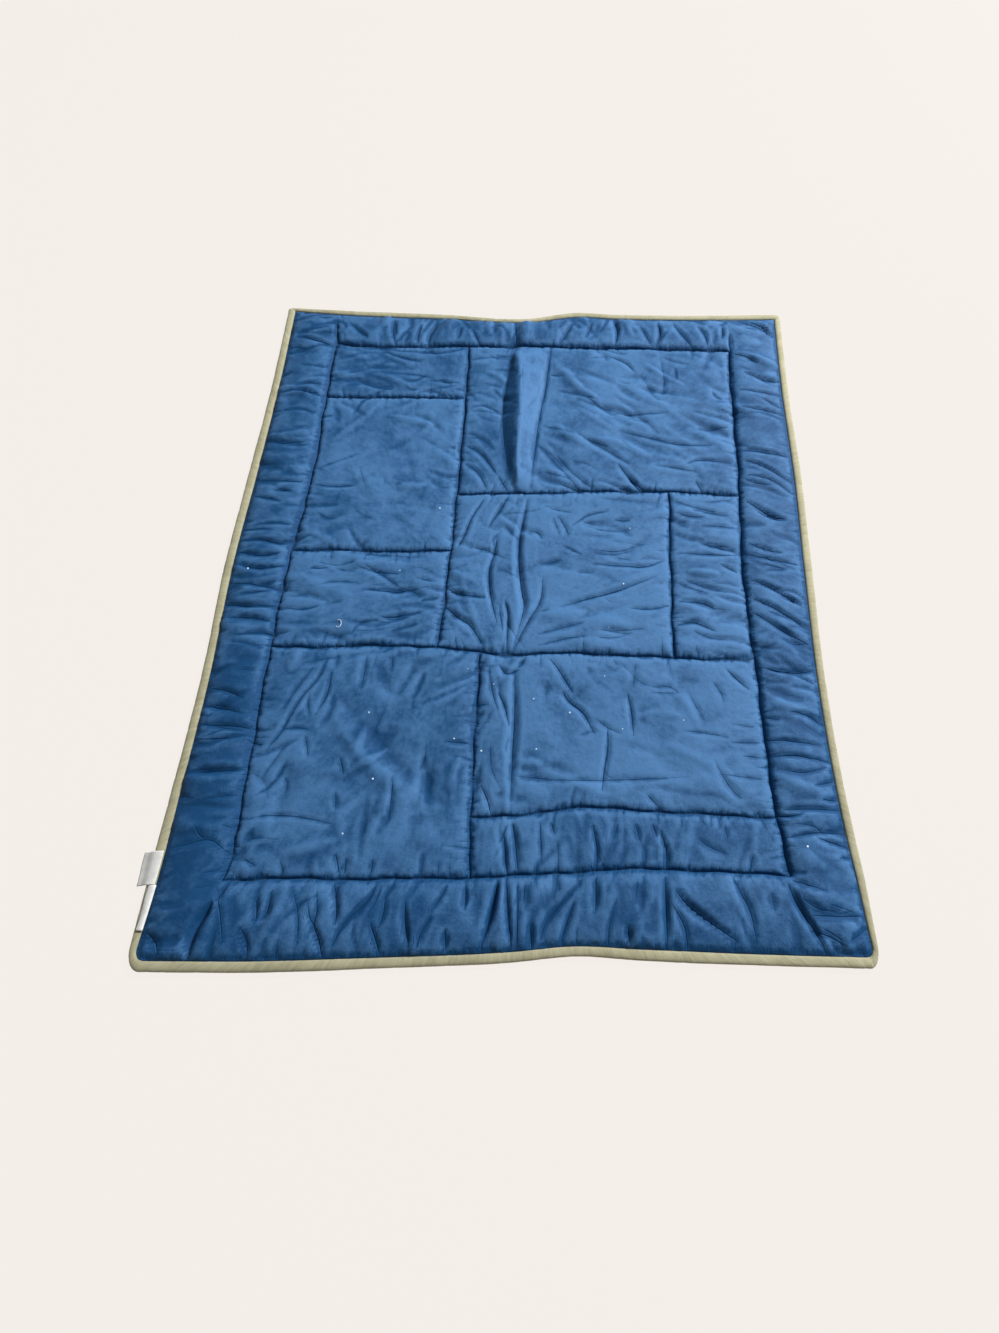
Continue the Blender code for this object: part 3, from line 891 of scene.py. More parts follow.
# lower right panel, the strip beside it and the one below
LOWER_RIGHT: tuple[Row, ...] = (
    # half width, rise, route
    (3, -2.4, ((-28, -198), (-18, -221), (-11, -248))),
    (3, -2.2, ((-45, -327), (-35, -348), (-30, -367))),
    (4, -3, ((-28, -156), (-18, -170), (-1, -165))),
    (4, -2.4, ((7, -146), (-3, -162))),
    (5, -4.4, ((-7, -158), (-5, -232), (-6, -284), (-6, -349))),
    (4, -3.2, ((-3, -374), (1, -397), (6, -437))),
    (3.5, -3, ((-12, -391), (-10, -422), (-6, -440))),
    (3, -1.6, ((-8, -377), (-19, -404))),
    (4, -4.2, ((-8, -444), (-4, -486), (1, -525))),
    (3.5, -3, ((6, -448), (7, -486), (7, -525))),
    (4, -3.8, ((-17, -446), (-22, -472), (-33, -515))),
    (3, -2, ((38, -145), (51, -161), (65, -186), (72, -198))),
    (3, -3, ((58, -194), (66, -209), (85, -226), (101, -259))),
    (3, -2.8, ((117, -244), (117, -275), (112, -305), (108, -338))),
    (3, -2.4, ((145, -196), (149, -225), (151, -261))),
    (5, -1, ((157, -151), (152, -192))),
    (3.5, -1.4, ((5, -320), (81, -320), (157, -317), (220, -313))),
    (3.5, -1.6, ((164, -336), (178, -351))),
    (3, -2.2, ((278, -156), (293, -174), (310, -191))),
    (2.5, -1.2, ((212, -251), (244, -253), (276, -259))),
    (2.5, -1.4, ((275, -265), (320, -265))),
    (2.5, -1.2, ((290, -283), (321, -286))),
    (5, -1.6, ((251, -289), (270, -326), (284, -342))),
    (6, -0.8, ((38, -180), (35, -216))),
    (2.5, -0.9, ((278, -239), (310, -244))),
    (3, -1, ((259, -309), (318, -315))),
    (3, -1.4, ((31, -371), (34, -427))),
    (3.5, -3.2, ((96, -375), (101, -405), (100, -432))),
    (3.5, -3.6, ((179, -380), (186, -409), (184, -431))),
    (3, -1.4, ((45, -374), (50, -391))),
    (4, -1.4, ((128, -375), (120, -395))),
    (4, -1.6, ((149, -374), (154, -396))),
    (3, -1.6, ((170, -374), (175, -391))),
    (5, -1.6, ((224, -390), (239, -402), (262, -411))),
    (3, -1.2, ((259, -374), (261, -393))),
    (4, -1.6, ((290, -410), (285, -432))),
    (3, -1.6, ((263, -436), (268, -449))),
)

# lower right panel, the strip beside it and the one below, broad
LOWER_RIGHT_SWELLS: tuple[Row, ...] = (
    # half width, rise, route
    (14, -1.8, ((174, -281), (196, -301), (223, -314))),
    (18, 1.6, ((163, -166), (212, -238), (260, -296))),
    (12, 1.2, ((226, -317), (271, -316), (306, -345))),
    (12, 1, ((18, -334), (87, -339), (156, -344))),
)

def curve(route: Array, steps: int) -> Array:
    """Smooth curve through the points of a route.

    Args:
        route: Points, one to a row.
        steps: Number of short steps between two points.

    Returns:
        Points along a cubic curve through the route.
    """
    if len(route) == 2:
        return route
    knots = np.arange(len(route), dtype=float)
    at = np.linspace(0, len(route) - 1, steps * (len(route) - 1) + 1)
    return np.stack([LaidPlan.smooth(knots, column, at) for column in route.T], axis=-1)


@dataclass(frozen=True)
class Stroke:
    """A crease, or a broad swell, along a smooth route in laid millimetres."""

    half_width: float
    rise: float
    route: Array
    broad: bool = False
    from_seam: bool = False

    def _section(self, across: Array) -> Array:
        """Height at a distance of so many half widths, 1 in the middle.

        A swell is a bell. A crease is a cusp in a shallow trough, with a lip at each
        side.
        """
        if self.broad:
            return bell(across)
        cusp = np.exp(0.45 - 1.25 * np.sqrt(across**2 + 0.13))
        return 0.8 * cusp + 0.2 * bell(across / 3.2) - 0.16 * bell((across - 2.6) / 1.1)

    def add_to(self, height: Array, x: Array, y: Array) -> tuple[Array, Array, Array]:
        """Add the stroke to the heights near it.

        The distance is taken to the nearest point of the route. The stroke thins and
        fades to a point at both ends, or only at its far end where it leaves a seam.

        Args:
            height: Heights in millimetres, changed in place.
            x: Laid places across.
            y: Laid places along.

        Returns:
            Numbers of the near points, their distances to the line, positive on its
            left, and the share of the stroke that is left there.
        """
        points = curve(np.asarray(self.route, float), 6)
        reach = self.half_width * (2.6 if self.broad else 6.0)
        low, high = points.min(axis=0) - reach, points.max(axis=0) + reach
        near = np.flatnonzero((x > low[0]) & (x < high[0]) & (y > low[1]) & (y < high[1]))
        px, py = x[near], y[near]
        nearest, share = np.full(len(near), np.inf), np.zeros(len(near))
        side = np.ones(len(near))
        for number, (start, end) in enumerate(zip(points, points[1:])):
            step = end - start
            t = ((px - start[0]) * step[0] + (py - start[1]) * step[1]) / (step @ step)
            t = np.clip(t, 0, 1)
            away = np.hypot(px - start[0] - t * step[0], py - start[1] - t * step[1])
            closer = away < nearest
            nearest[closer] = away[closer]
            share[closer] = (number + t[closer]) / (len(points) - 1)
            left = step[0] * (py - start[1]) - step[1] * (px - start[0])
            side[closer] = np.sign(left[closer])
        fade = (1 - share) ** 1.2 if self.from_seam else np.sin(np.pi * share) ** 0.7
        width = self.half_width * (0.4 + 0.6 * fade)
        height[near] += self.rise * fade * self._section(nearest / width)
        return near, nearest * side, fade


@dataclass(frozen=True)
class Grain:
    """How one panel is wrinkled all over, its heading and strength, and its tone, which paints the
    light's falloff and shade of that panel into the colour.
    """

    left: str
    right: str
    bottom: str
    top: str
    heading: float
    spread: float
    fine: int
    broad: int
    rise: float
    # fade: painted light and shade of the panel, as a share paler or darker than the rest
    fade: float


@dataclass(frozen=True)
class Tuck:
    """A leaning pleat down the middle: a steep left face, a crest and a broad right face."""

    rows: tuple[tuple[float, float, float, float, float], ...] = (
        # y, left foot, crest, right foot, height
        (532, -22, -8, 12, 5.0),
        (500, -24, -8, 12, 6.0),
        (462, -22, -8, 12, 5.0),
        (447, -24, -14, 14, 3.0),
        (430, -27, -22, 34, 9.0),
        (400, -33, -18, 32, 12.5),
        (350, -38, -14, 27, 14.5),
        (300, -41, -13, 20, 15.0),
        (250, -38, -14, 15, 14.0),
        (200, -32, -15, 11, 11.5),
        (160, -24, -13, 8, 7.5),
        (144, -21, -12, 6, 2.5),
        (118, -14, -6, 4, 1.0),
    )

    def _across(self, x: Array, y: Array) -> tuple[Array, Array, Array, Array]:
        """Points near the pleat: their numbers, climb and fall shares, and top height."""
        table = np.array(self.rows[::-1])
        inside = np.flatnonzero((y > table[0, 0]) & (y < table[-1, 0]) & (np.abs(x) < 60))
        at = y[inside]
        left, crest, right, top = (LaidPlan.smooth(table[:, 0], c, at) for c in table[:, 1:].T)
        ends = np.clip((at - table[0, 0]) / 20, 0, 1) * np.clip((table[-1, 0] - at) / 20, 0, 1)
        climb = (x[inside] - left) / (crest - left)
        return inside, climb, (right - x[inside]) / (right - crest), top * ends

    def height(self, x: Array, y: Array) -> Array:
        """Height of the pleat: a triangle across, between smooth lines along it."""
        inside, climb, fall, top = self._across(x, y)
        result = np.zeros_like(x)
        result[inside] = top * np.clip(np.minimum(climb, fall), 0, 1)
        return result

    def hidden(self, x: Array, y: Array) -> Array:
        """How much of a point lies on the steep left face, which light seldom reaches."""
        inside, climb, _, top = self._across(x, y)
        result = np.zeros_like(x)
        face = ((climb > 0.04) & (climb < 0.97)).astype(float)
        result[inside] = face * np.clip(top / 9.0 - 0.4, 0, 1)
        return result


@dataclass
class QuiltBody:
    """Filled body: puffed border, flatter panels, sewn channels, pleats and folds.

    Lofts, grooves and depths are heights in millimetres. Shoulders, reaches and rooms
    are distances in millimetres from a seam, the rim or a line.
    """

    plan: LaidPlan
    inset: float = 12.3
    rim_height: float = 4.8
    seam_height: float = 4.4
    panel_loft: float = 8.0
    border_loft: float = 11.5
    panel_shoulder: float = 34.0
    border_shoulder: float = 40.0
    groove_reach: float = 4.5
    border_groove: float = 4.6
    panel_groove: float = 4.0
    rim_shoulder: float = 72.0
    pitch: float = 3.15
    border_pitch: float = 4.6
    under_stride: int = 4
    pucker_pitch: float = 8.0
    crease_depth: float = 1.7
    crease_width: float = 0.78
    grain_depth: float = 2.4
    swell_height: float = 2.3
    sharp_rise: float = 5.0
    # painted shade: how much darker the seam grooves and the tuck's steep face are coloured, and the
    # reach of the groove shade in millimetres
    groove_painted_shade: float = 0.62
    groove_shade: float = 3.2
    wander: float = 0.8
    line_room: float = 6.0
    relief_from_seam: float = 5.0
    relief_from_rim: float = 8.0
    tuck_from_seam: float = 16.0
    tuck_from_rim: float = 12.0
    under_rise: float = 1.6
    under_reach: float = 6.0
    pucker_seed: int = 23
    grain_seed: int = 41
    seams: tuple[Seam, ...] = (
        Seam("frame_left", ("left_seam", "bottom_seam"), ("left_seam", "top_seam")),
        Seam("frame_right", ("right_seam", "bottom_seam"), ("right_seam", "top_seam")),
        Seam("frame_bottom", ("left_seam", "bottom_seam"), ("right_seam", "bottom_seam")),
        Seam("frame_top", ("left_seam", "top_seam"), ("right_seam", "top_seam")),
        Seam("bar_1", ("left_seam", "bar_1"), ("post_left", "bar_1")),
        Seam("bar_2", ("post_left", "bar_2"), ("right_seam", "bar_2")),
        Seam("bar_3", ("left_seam", "bar_3"), ("post_left", "bar_3")),
        Seam("bar_4", ("left_seam", "bar_4"), ("right_seam", "bar_4")),
        Seam("bar_5", ("post_low", "bar_5"), ("right_seam", "bar_5")),
        Seam("post_left", ("post_left", "bar_4"), ("post_left", "top_seam")),
        Seam("post_right", ("post_right", "bar_4"), ("post_right", "bar_2")),
        Seam("post_low", ("post_low", "bottom_seam"), ("post_low", "bar_4")),
    )
    grains: tuple[Grain, ...] = (
        # left, right, bottom, top; heading, spread, fine, broad, rise, fade (painted light and shade)
        Grain("left_seam", "post_left", "bar_1", "top_seam", -4, 14, 16, 16, 1.1, -0.15),
        Grain("left_seam", "post_left", "bar_3", "bar_1", 8, 50, 10, 30, 0.9, 0.11),
        Grain("left_seam", "post_left", "bar_4", "bar_3", 0, 12, 26, 22, 1.15, 0.13),
        Grain("post_left", "tuck", "bar_2", "top_seam", -20, 22, 10, 14, 0.8, 0.02),
        Grain("tuck", "fold", "bar_2", "top_seam", 84, 10, 3, 3, 0.7, 0.24),
        Grain("fold", "right_seam", "bar_2", "top_seam", -26, 14, 22, 56, 1.1, 0.13),
        Grain("post_left", "fold", "bar_4", "bar_2", -40, 40, 14, 14, 0.9, 0.24),
        Grain("fold", "post_right", "bar_4", "bar_2", 4, 16, 22, 26, 1.05, 0.26),
        Grain("post_right", "right_seam", "bar_4", "bar_2", -12, 12, 20, 14, 1.35, 0.14),
        Grain("left_seam", "post_low", "bottom_seam", "bar_4", 56, 26, 14, 44, 1.05, 0.05),
        Grain("post_low", "fold", "bar_5", "bar_4", 84, 16, 10, 10, 0.9, 0.24),
        Grain("fold", "right_seam", "bar_5", "bar_4", -20, 26, 14, 34, 0.7, 0.21),
        Grain("post_low", "right_seam", "bottom_seam", "bar_5", 86, 14, 18, 18, 0.6, -0.09),
        Grain("left_edge", "left_seam", "bar_4", "top_edge", 0, 12, 40, 24, 1.3, -0.20),
        Grain("left_edge", "left_seam", "bottom_edge", "bar_4", 4, 14, 22, 18, 1.4, -0.39),
        Grain("right_seam", "right_edge", "bottom_edge", "top_edge", -18, 12, 50, 40, 1.4, -0.21),
        Grain("left_seam", "right_seam", "top_seam", "top_edge", 92, 20, 18, 26, 1.55, -0.11),
        Grain("left_seam", "right_seam", "bottom_edge", "bottom_seam", 88, 16, 22, 28, 1.2, -0.22),
    )
    top_shape: Array | None = field(default=None, init=False, repr=False)
    lines: list[Array] = field(default_factory=list, init=False, repr=False)

    def _places(self, guides: Sequence[Guide], half: float) -> tuple[Array, Array]:
        """Cut places of the mesh lines, and which of them the underside keeps.

        They lie close beside each seam and evenly between, a little wider apart in
        the border. The underside keeps the seams and each fourth of the others.
        """
        sewn = {name for seam in self.seams for name in seam.start + seam.end}
        marks = sorted(guide.cut for guide in guides if guide.name in sewn)
        stops = {-half: True, half: True}
        for step in (1.3, 3.4):
            stops |= {step - half: False, half - step: False}
        for mark in marks:
            stops |= {mark: True, mark - 3.2: True, mark + 3.2: True}
            stops |= {mark - 1.0: False, mark + 1.0: False}
        ordered = sorted(stops)
        lines: list[float] = []
        kept: list[int] = []
        for start, end in zip(ordered, ordered[1:]):
            inside = marks[0] <= start < marks[-1]
            pitch = self.pitch if inside else self.border_pitch
            count = max(1, math.ceil((end - start) / pitch - 0.2))
            for number in range(count):
                spaced = number % self.under_stride == 0 and 0 < number < count - 2
                if spaced or (number == 0 and stops[start]):
                    kept.append(len(lines))
                lines.append(start + (end - start) * number / count)
        kept.append(len(lines))
        lines.append(half)
        return np.array(lines), np.array(kept)

    def lie(self, u: Array, v: Array) -> tuple[Array, Array]:
        """Laid places of the cloth, whose lines wander a little off the plan.

        Each is shifted by a sum of two slow sines of the other coordinate, less and
        less towards the rim.
        """
        half_u, half_v = self.plan.width / 2, self.plan.length / 2
        from_rim = np.minimum(half_u - np.abs(u), half_v - np.abs(v)) - self.inset
        inner = np.clip(from_rim / 40, 0, 1)
        across = np.sin(v / 19 + u / 90) + 0.7 * np.sin(v / 8.3 + u / 31)
        along = np.sin(u / 21 + v / 70 + 1) + 0.7 * np.sin(u / 7.7 + v / 37)
        return self.plan.lay(u + self.wander * inner * across, v + self.wander * inner * along)

    def _from_seams(self, u: Array, v: Array) -> Array:
        """Distance to the nearest line of quilting: nearest point of each segment."""
        nearest = np.full(u.shape, np.inf)
        for seam in self.seams:
            u0, v0 = (self.plan.cut_place(name) for name in seam.start)
            u1, v1 = (self.plan.cut_place(name) for name in seam.end)
            off_u = u - np.clip(u, min(u0, u1), max(u0, u1))
            off_v = v - np.clip(v, min(v0, v1), max(v0, v1))
            nearest = np.minimum(nearest, np.hypot(off_u, off_v))
        return nearest

    def _in_border(self, u: Array, v: Array) -> Array:
        """Whether a cut point lies in the padded border."""
        low_u, high_u = (self.plan.cut_place(name) for name in ("left_seam", "right_seam"))
        low_v, high_v = (self.plan.cut_place(name) for name in ("bottom_seam", "top_seam"))
        return (u < low_u) | (u > high_u) | (v < low_v) | (v > high_v)

    @staticmethod
    def _shoulder(distance: Array, reach: float) -> Array:
        """Quarter circle from 0 at no distance to 1 at the reach."""
        return np.sqrt(1 - (1 - np.clip(distance / reach, 0, 1)) ** 2)

    def _tone_and_painted_shade(self, u: Array, v: Array) -> Array:
        """Tone of the cloth against the rest, from the table of panels, which paints the light's
        falloff and the borders' shade into the colour; darker again where shade is painted into the
        seam grooves and onto the tuck's steep left face.
        """
        fade = np.full(u.shape, self.grains[-1].fade, dtype=np.float32)
        for grain in self.grains[::-1]:
            left, right = self.plan.cut_place(grain.left), self.plan.cut_place(grain.right)
            low, high = self.plan.cut_place(grain.bottom), self.plan.cut_place(grain.top)
            fade[(u >= left) & (u <= right) & (v >= low) & (v <= high)] = grain.fade
        # painted shade in the seam grooves and on the tuck's steep left face
        grooves = bell(self._from_seams(u, v) / self.groove_shade)
        tuck_face_shade = Tuck().hidden(*self.plan.lay(u, v))
        return fade - (self.groove_painted_shade * np.maximum(grooves, tuck_face_shade)).astype(np.float32)

    def _puckers(self) -> list[Stroke]:
        """Short uneven creases that leave every seam, and the rim, at a right angle."""
        rng = np.random.default_rng(self.pucker_seed)
        half_u, half_v = self.plan.width / 2 - self.inset, self.plan.length / 2 - self.inset
        lines = [
            [self.plan.cut_place(name) for name in seam.start + seam.end] for seam in self.seams
        ]
        corners = ((-half_u, -half_v), (half_u, -half_v), (half_u, half_v), (-half_u, half_v))
        lines += [[*a, *b] for a, b in zip(corners, corners[1:] + corners[:1])]
        starts, ends, sizes = [], [], []
        for u0, v0, u1, v1 in lines:
            length = math.hypot(u1 - u0, v1 - v0)
            for side in (-1, 1):
                gaps = rng.uniform(0.5, 1.5, int(length / self.pucker_pitch))
                for place in np.cumsum(gaps)[:-1] / gaps.sum():
                    u, v = u0 + (u1 - u0) * place, v0 + (v1 - v0) * place
                    far = 5 + 30 * rng.uniform() ** 3
                    lean = rng.normal(0, 0.22) * far
                    along = ((u1 - u0) / length, (v1 - v0) / length)
                    out = (-along[1] * side, along[0] * side)
                    starts.append((u - 2 * out[0], v - 2 * out[1]))
                    step_u = far * out[0] + lean * along[0]
                    step_v = far * out[1] + lean * along[1]
                    ends.append((u + step_u, v + step_v))
                    sizes.append((rng.uniform(1.8, 3.0), -rng.uniform(0.6, 2.6)))
        first, last = (np.stack(self.plan.lay(*np.array(p).T), -1) for p in (starts, ends))
        return [
            Stroke(width, rise, np.array([start, end]), from_seam=True)
            for (width, rise), start, end in zip(sizes, first, last)
        ]

    def _scattered(self) -> list[Stroke]:
        """Fine wrinkles and broad swells of each panel, about its own heading."""
        rng = np.random.default_rng(self.grain_seed)
        strokes = []
        for grain in self.grains:
            left, right, bottom, top = (
                self.plan.cut_place(name)
                for name in (grain.left, grain.right, grain.bottom, grain.top)
            )
            for count, broad in ((grain.fine, False), (grain.broad, True)):
                u, v = rng.uniform(left, right, count), rng.uniform(bottom, top, count)
                centres = np.stack(self.plan.lay(u, v), -1)
                headings = np.radians(rng.normal(grain.heading, grain.spread, count))
                lengths = rng.uniform(24, 80, count) if not broad else rng.uniform(40, 110, count)
                for centre, heading, length in zip(centres, headings, lengths):
                    step = np.array([math.cos(heading), math.sin(heading)]) * length / 2
                    bow = np.array([-step[1], step[0]]) * rng.normal(0, 0.14)
                    route = np.array([centre - step, centre + bow, centre + step])
                    width = rng.uniform(5, 12) if broad else rng.uniform(2.2, 3.4)
                    scale = self.swell_height if broad else -self.grain_depth
                    rise = grain.rise * rng.uniform(0.3, 1.2) * scale
                    if broad and rng.uniform() < 0.5:
                        rise = -rise
                    strokes.append(Stroke(width, rise, route, broad))
        return strokes

    def _placed(self) -> list[Stroke]:
        """The creases and swells that are placed one by one."""
        creases = (LEFT_BORDER, RIGHT_BORDER, TOP_BORDER, BOTTOM_BORDER)
        creases += (UPPER_PANELS, LOWER_LEFT, LOWER_RIGHT)
        wider, deeper = self.crease_width, self.crease_depth
        strokes = [
            Stroke(width * wider, rise * deeper, np.array(route))
            for rows in creases
            for width, rise, route in rows
        ]
        swells = LOWER_LEFT_SWELLS + LOWER_RIGHT_SWELLS
        return strokes + [Stroke(w, r, np.array(route), True) for w, r, route in swells]

    def _sharpness(self, stroke: Stroke) -> float:
        """How sharp a crease is in its middle: most where it is deep and narrow."""
        narrow = min(1.0, (3.2 / stroke.half_width) ** 2)
        return narrow * min(1.0, abs(stroke.rise) / self.sharp_rise)

    def _draw_line(self, near: Array, away: Array, depth: Array) -> None:
        """Note a crease's line in the first layer that is free around it.

        A layer holds, at each point, the signed distance to the line and its depth. The
        sign changes across the line, so that its middle stays sharp between the points.

        Args:
            near: Numbers of the points near the stroke.
            away: Their signed distances to the line in millimetres.
            depth: Depth of the line beside each, 0 to 1.
        """
        close = (np.abs(away) < self.line_room) & (depth > 0.02)
        near, away, depth = near[close], away[close], depth[close]
        for layer in self.lines:
            if not layer[near, 1].any():
                layer[near, 0], layer[near, 1] = away, depth
                return

    def top_height(self, u: Array, v: Array) -> Array:
        """Height of the upper face.

        Crown by distance from the seams, rounded to the rim, plus the strokes and the
        tuck, which fade where a seam holds the cloth down.

        Args:
            u: Cut places across.
            v: Cut places along.

        Returns:
            Heights in millimetres.
        """
        half_u, half_v = self.plan.width / 2, self.plan.length / 2
        from_rim = np.minimum(half_u - np.abs(u), half_v - np.abs(v)) - self.inset
        from_seam = self._from_seams(u, v)
        edge = self._shoulder(from_rim, self.rim_shoulder)
        bank = self._shoulder(from_seam, self.groove_reach)
        crowns = [
            groove * bank + (loft - groove) * self._shoulder(from_seam, reach)
            for groove, loft, reach in (
                (self.border_groove, self.border_loft, self.border_shoulder),
                (self.panel_groove, self.panel_loft, self.panel_shoulder),
            )
        ]
        crown = np.where(self._in_border(u, v), crowns[0] * edge, crowns[1])
        x, y = self.lie(u, v)
        relief = np.zeros_like(u)
        self.lines = [np.zeros((len(u), 3)) for _ in range(CREASE_LAYERS)]
        for stroke in self._placed() + self._puckers() + self._scattered():
            near, away, fade = stroke.add_to(relief, x, y)
            if not stroke.broad:
                self._draw_line(near, away, fade * self._sharpness(stroke))
        near_rim = self._shoulder(from_rim, self.relief_from_rim)
        for line in self.lines:
            line[:, 1] *= near_rim
        relief = relief * self._shoulder(from_seam, self.relief_from_seam) * near_rim
        tuck = Tuck().height(x, y) * self._shoulder(from_seam, self.tuck_from_seam)
        relief += tuck * self._shoulder(from_rim, self.tuck_from_rim)
        height = self.seam_height + crown + relief
        floor = self.seam_height - 0.4
        eased = floor + np.exp(np.minimum(height - floor - 1, 0))
        height = np.where(height < floor + 1, eased, height)
        return np.where(from_rim < 0.01, self.rim_height, height)

    def _crest(self, z: Array) -> Array:
        """How far each point stands above its surroundings, 1 for half a millimetre."""
        around = z.copy()
        for _ in range(4):
            padded = np.pad(around, 1, mode="edge")
            around = (padded[:-2, 1:-1] + padded[2:, 1:-1] + padded[1:-1, :-2]) / 4
            around = around + padded[1:-1, 2:] / 4
        return np.clip((z - around) / (0.5 * MM), -1, 1)

    def build(self, cotton: bpy.types.Material) -> bpy.types.Object:
        """Make the closed body.

        The upper face is a height over the laid grid. Its rim drops straight to the
        floor, and the underside is a sparser grid over the same plan, drawn up a
        little along each line of quilting.

        Args:
            cotton: The cloth's finish.

        Returns:
            The body, which replaces its plain solid.
        """
        across, kept_across = self._places(self.plan.along, self.plan.width / 2 - self.inset)
        along, kept_along = self._places(self.plan.across, self.plan.length / 2 - self.inset)
        grid_u, grid_v = np.meshgrid(across, along)
        u, v = grid_u.ravel(), grid_v.ravel()
        x, y = self.lie(u, v)
        top = self.plan.place(x, y, self.top_height(u, v))
        top[:, 2] = np.maximum(top[:, 2], self.rim_height * 0.5 * MM)
        self.top_shape = top
        kept = np.ix_(kept_along, kept_across)
        under_u, under_v = grid_u[kept].ravel(), grid_v[kept].ravel()
        drawn = self.under_rise * bell(self._from_seams(under_u, under_v) / self.under_reach)
        rim = (np.abs(under_u) > across[-1] - 0.01) | (np.abs(under_v) > along[-1] - 0.01)
        under = self.plan.place(*self.plan.lay(under_u, under_v), np.where(rim, 0.0, drawn))
        faces, extra = self._close(grid_u.shape, kept_along, kept_across)
        points = np.vstack([top, under, top[extra] * (1, 1, 0)])
        flat = np.stack([u, v], -1)
        flat = np.vstack([flat, np.stack([under_u, under_v], -1), flat[extra]])
        body = make_mesh("quilt", points, faces, cotton, flat * MM)
        crest = np.zeros(len(points), dtype=np.float32)
        crest[: len(top)] = self._crest(top[:, 2].reshape(grid_u.shape)).ravel()
        # fade carries the per-panel painted light and shade and the painted groove and tuck shade;
        # crest carries worn crests and painted shade in hollows
        for name, values in (("crest", crest), ("fade", self._tone_and_painted_shade(flat[:, 0], flat[:, 1]))):
            layer = body.data.attributes.new(name, "FLOAT", "POINT")
            layer.data.foreach_set("value", values)
        for number, line in enumerate(self.lines):
            layer = body.data.attributes.new(f"crease_{number}", "FLOAT_VECTOR", "POINT")
            beneath = np.zeros((len(points) - len(top), 3))
            layer.data.foreach_set("vector", np.vstack([line, beneath]).astype(np.float32).ravel())
        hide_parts("quilt_body")
        return body

    @staticmethod
    def _close(
        shape: tuple[int, int], kept_rows: Array, kept_columns: Array
    ) -> tuple[list[list[int]], Array]:
        """Faces of the upper grid, the sparser underside and the wall between them.

        Along the rim the underside's outer cells also take in the feet of the upper
        points that fall between their corners.

        Args:
            shape: Rows and columns of the upper grid.
            kept_rows: Its rows that the underside keeps.
            kept_columns: Its columns that the underside keeps.

        Returns:
            The faces, and the upper rim points whose feet follow the two grids.
        """
        rows, columns = shape
        upper = np.arange(rows * columns).reshape(rows, columns)
        foot = np.full(shape, -1)
        low = (len(kept_rows), len(kept_columns))
        numbers = rows * columns + np.arange(low[0] * low[1])
        foot[np.ix_(kept_rows, kept_columns)] = numbers.reshape(low)
        ring = grid_rim(upper)
        foot = foot.ravel()
        extra = ring[foot[ring] < 0]
        foot[extra] = rows * columns + low[0] * low[1] + np.arange(len(extra))
        after = np.roll(ring, -1)
        wall = np.stack([foot[ring], foot[after], after, ring], axis=-1)
        faces = grid_faces(rows, columns).tolist() + wall.tolist()
        for r0, r1 in zip(kept_rows, kept_rows[1:]):
            for c0, c1 in zip(kept_columns, kept_columns[1:]):
                south = upper[r0, c0 : c1 + 1] if r0 == 0 else upper[r0, [c0, c1]]
                east = upper[r0 + 1 : r1, c1] if c1 == columns - 1 else upper[r0:r0, c1]
                north = upper[r1, c0 : c1 + 1] if r1 == rows - 1 else upper[r1, [c0, c1]]
                west = upper[r0 + 1 : r1, c0] if c0 == 0 else upper[r0:r0, c0]
                loop = np.concatenate([south, east, north[::-1], west[::-1]])
                faces.append(foot[loop][::-1].tolist())
        return faces, extra


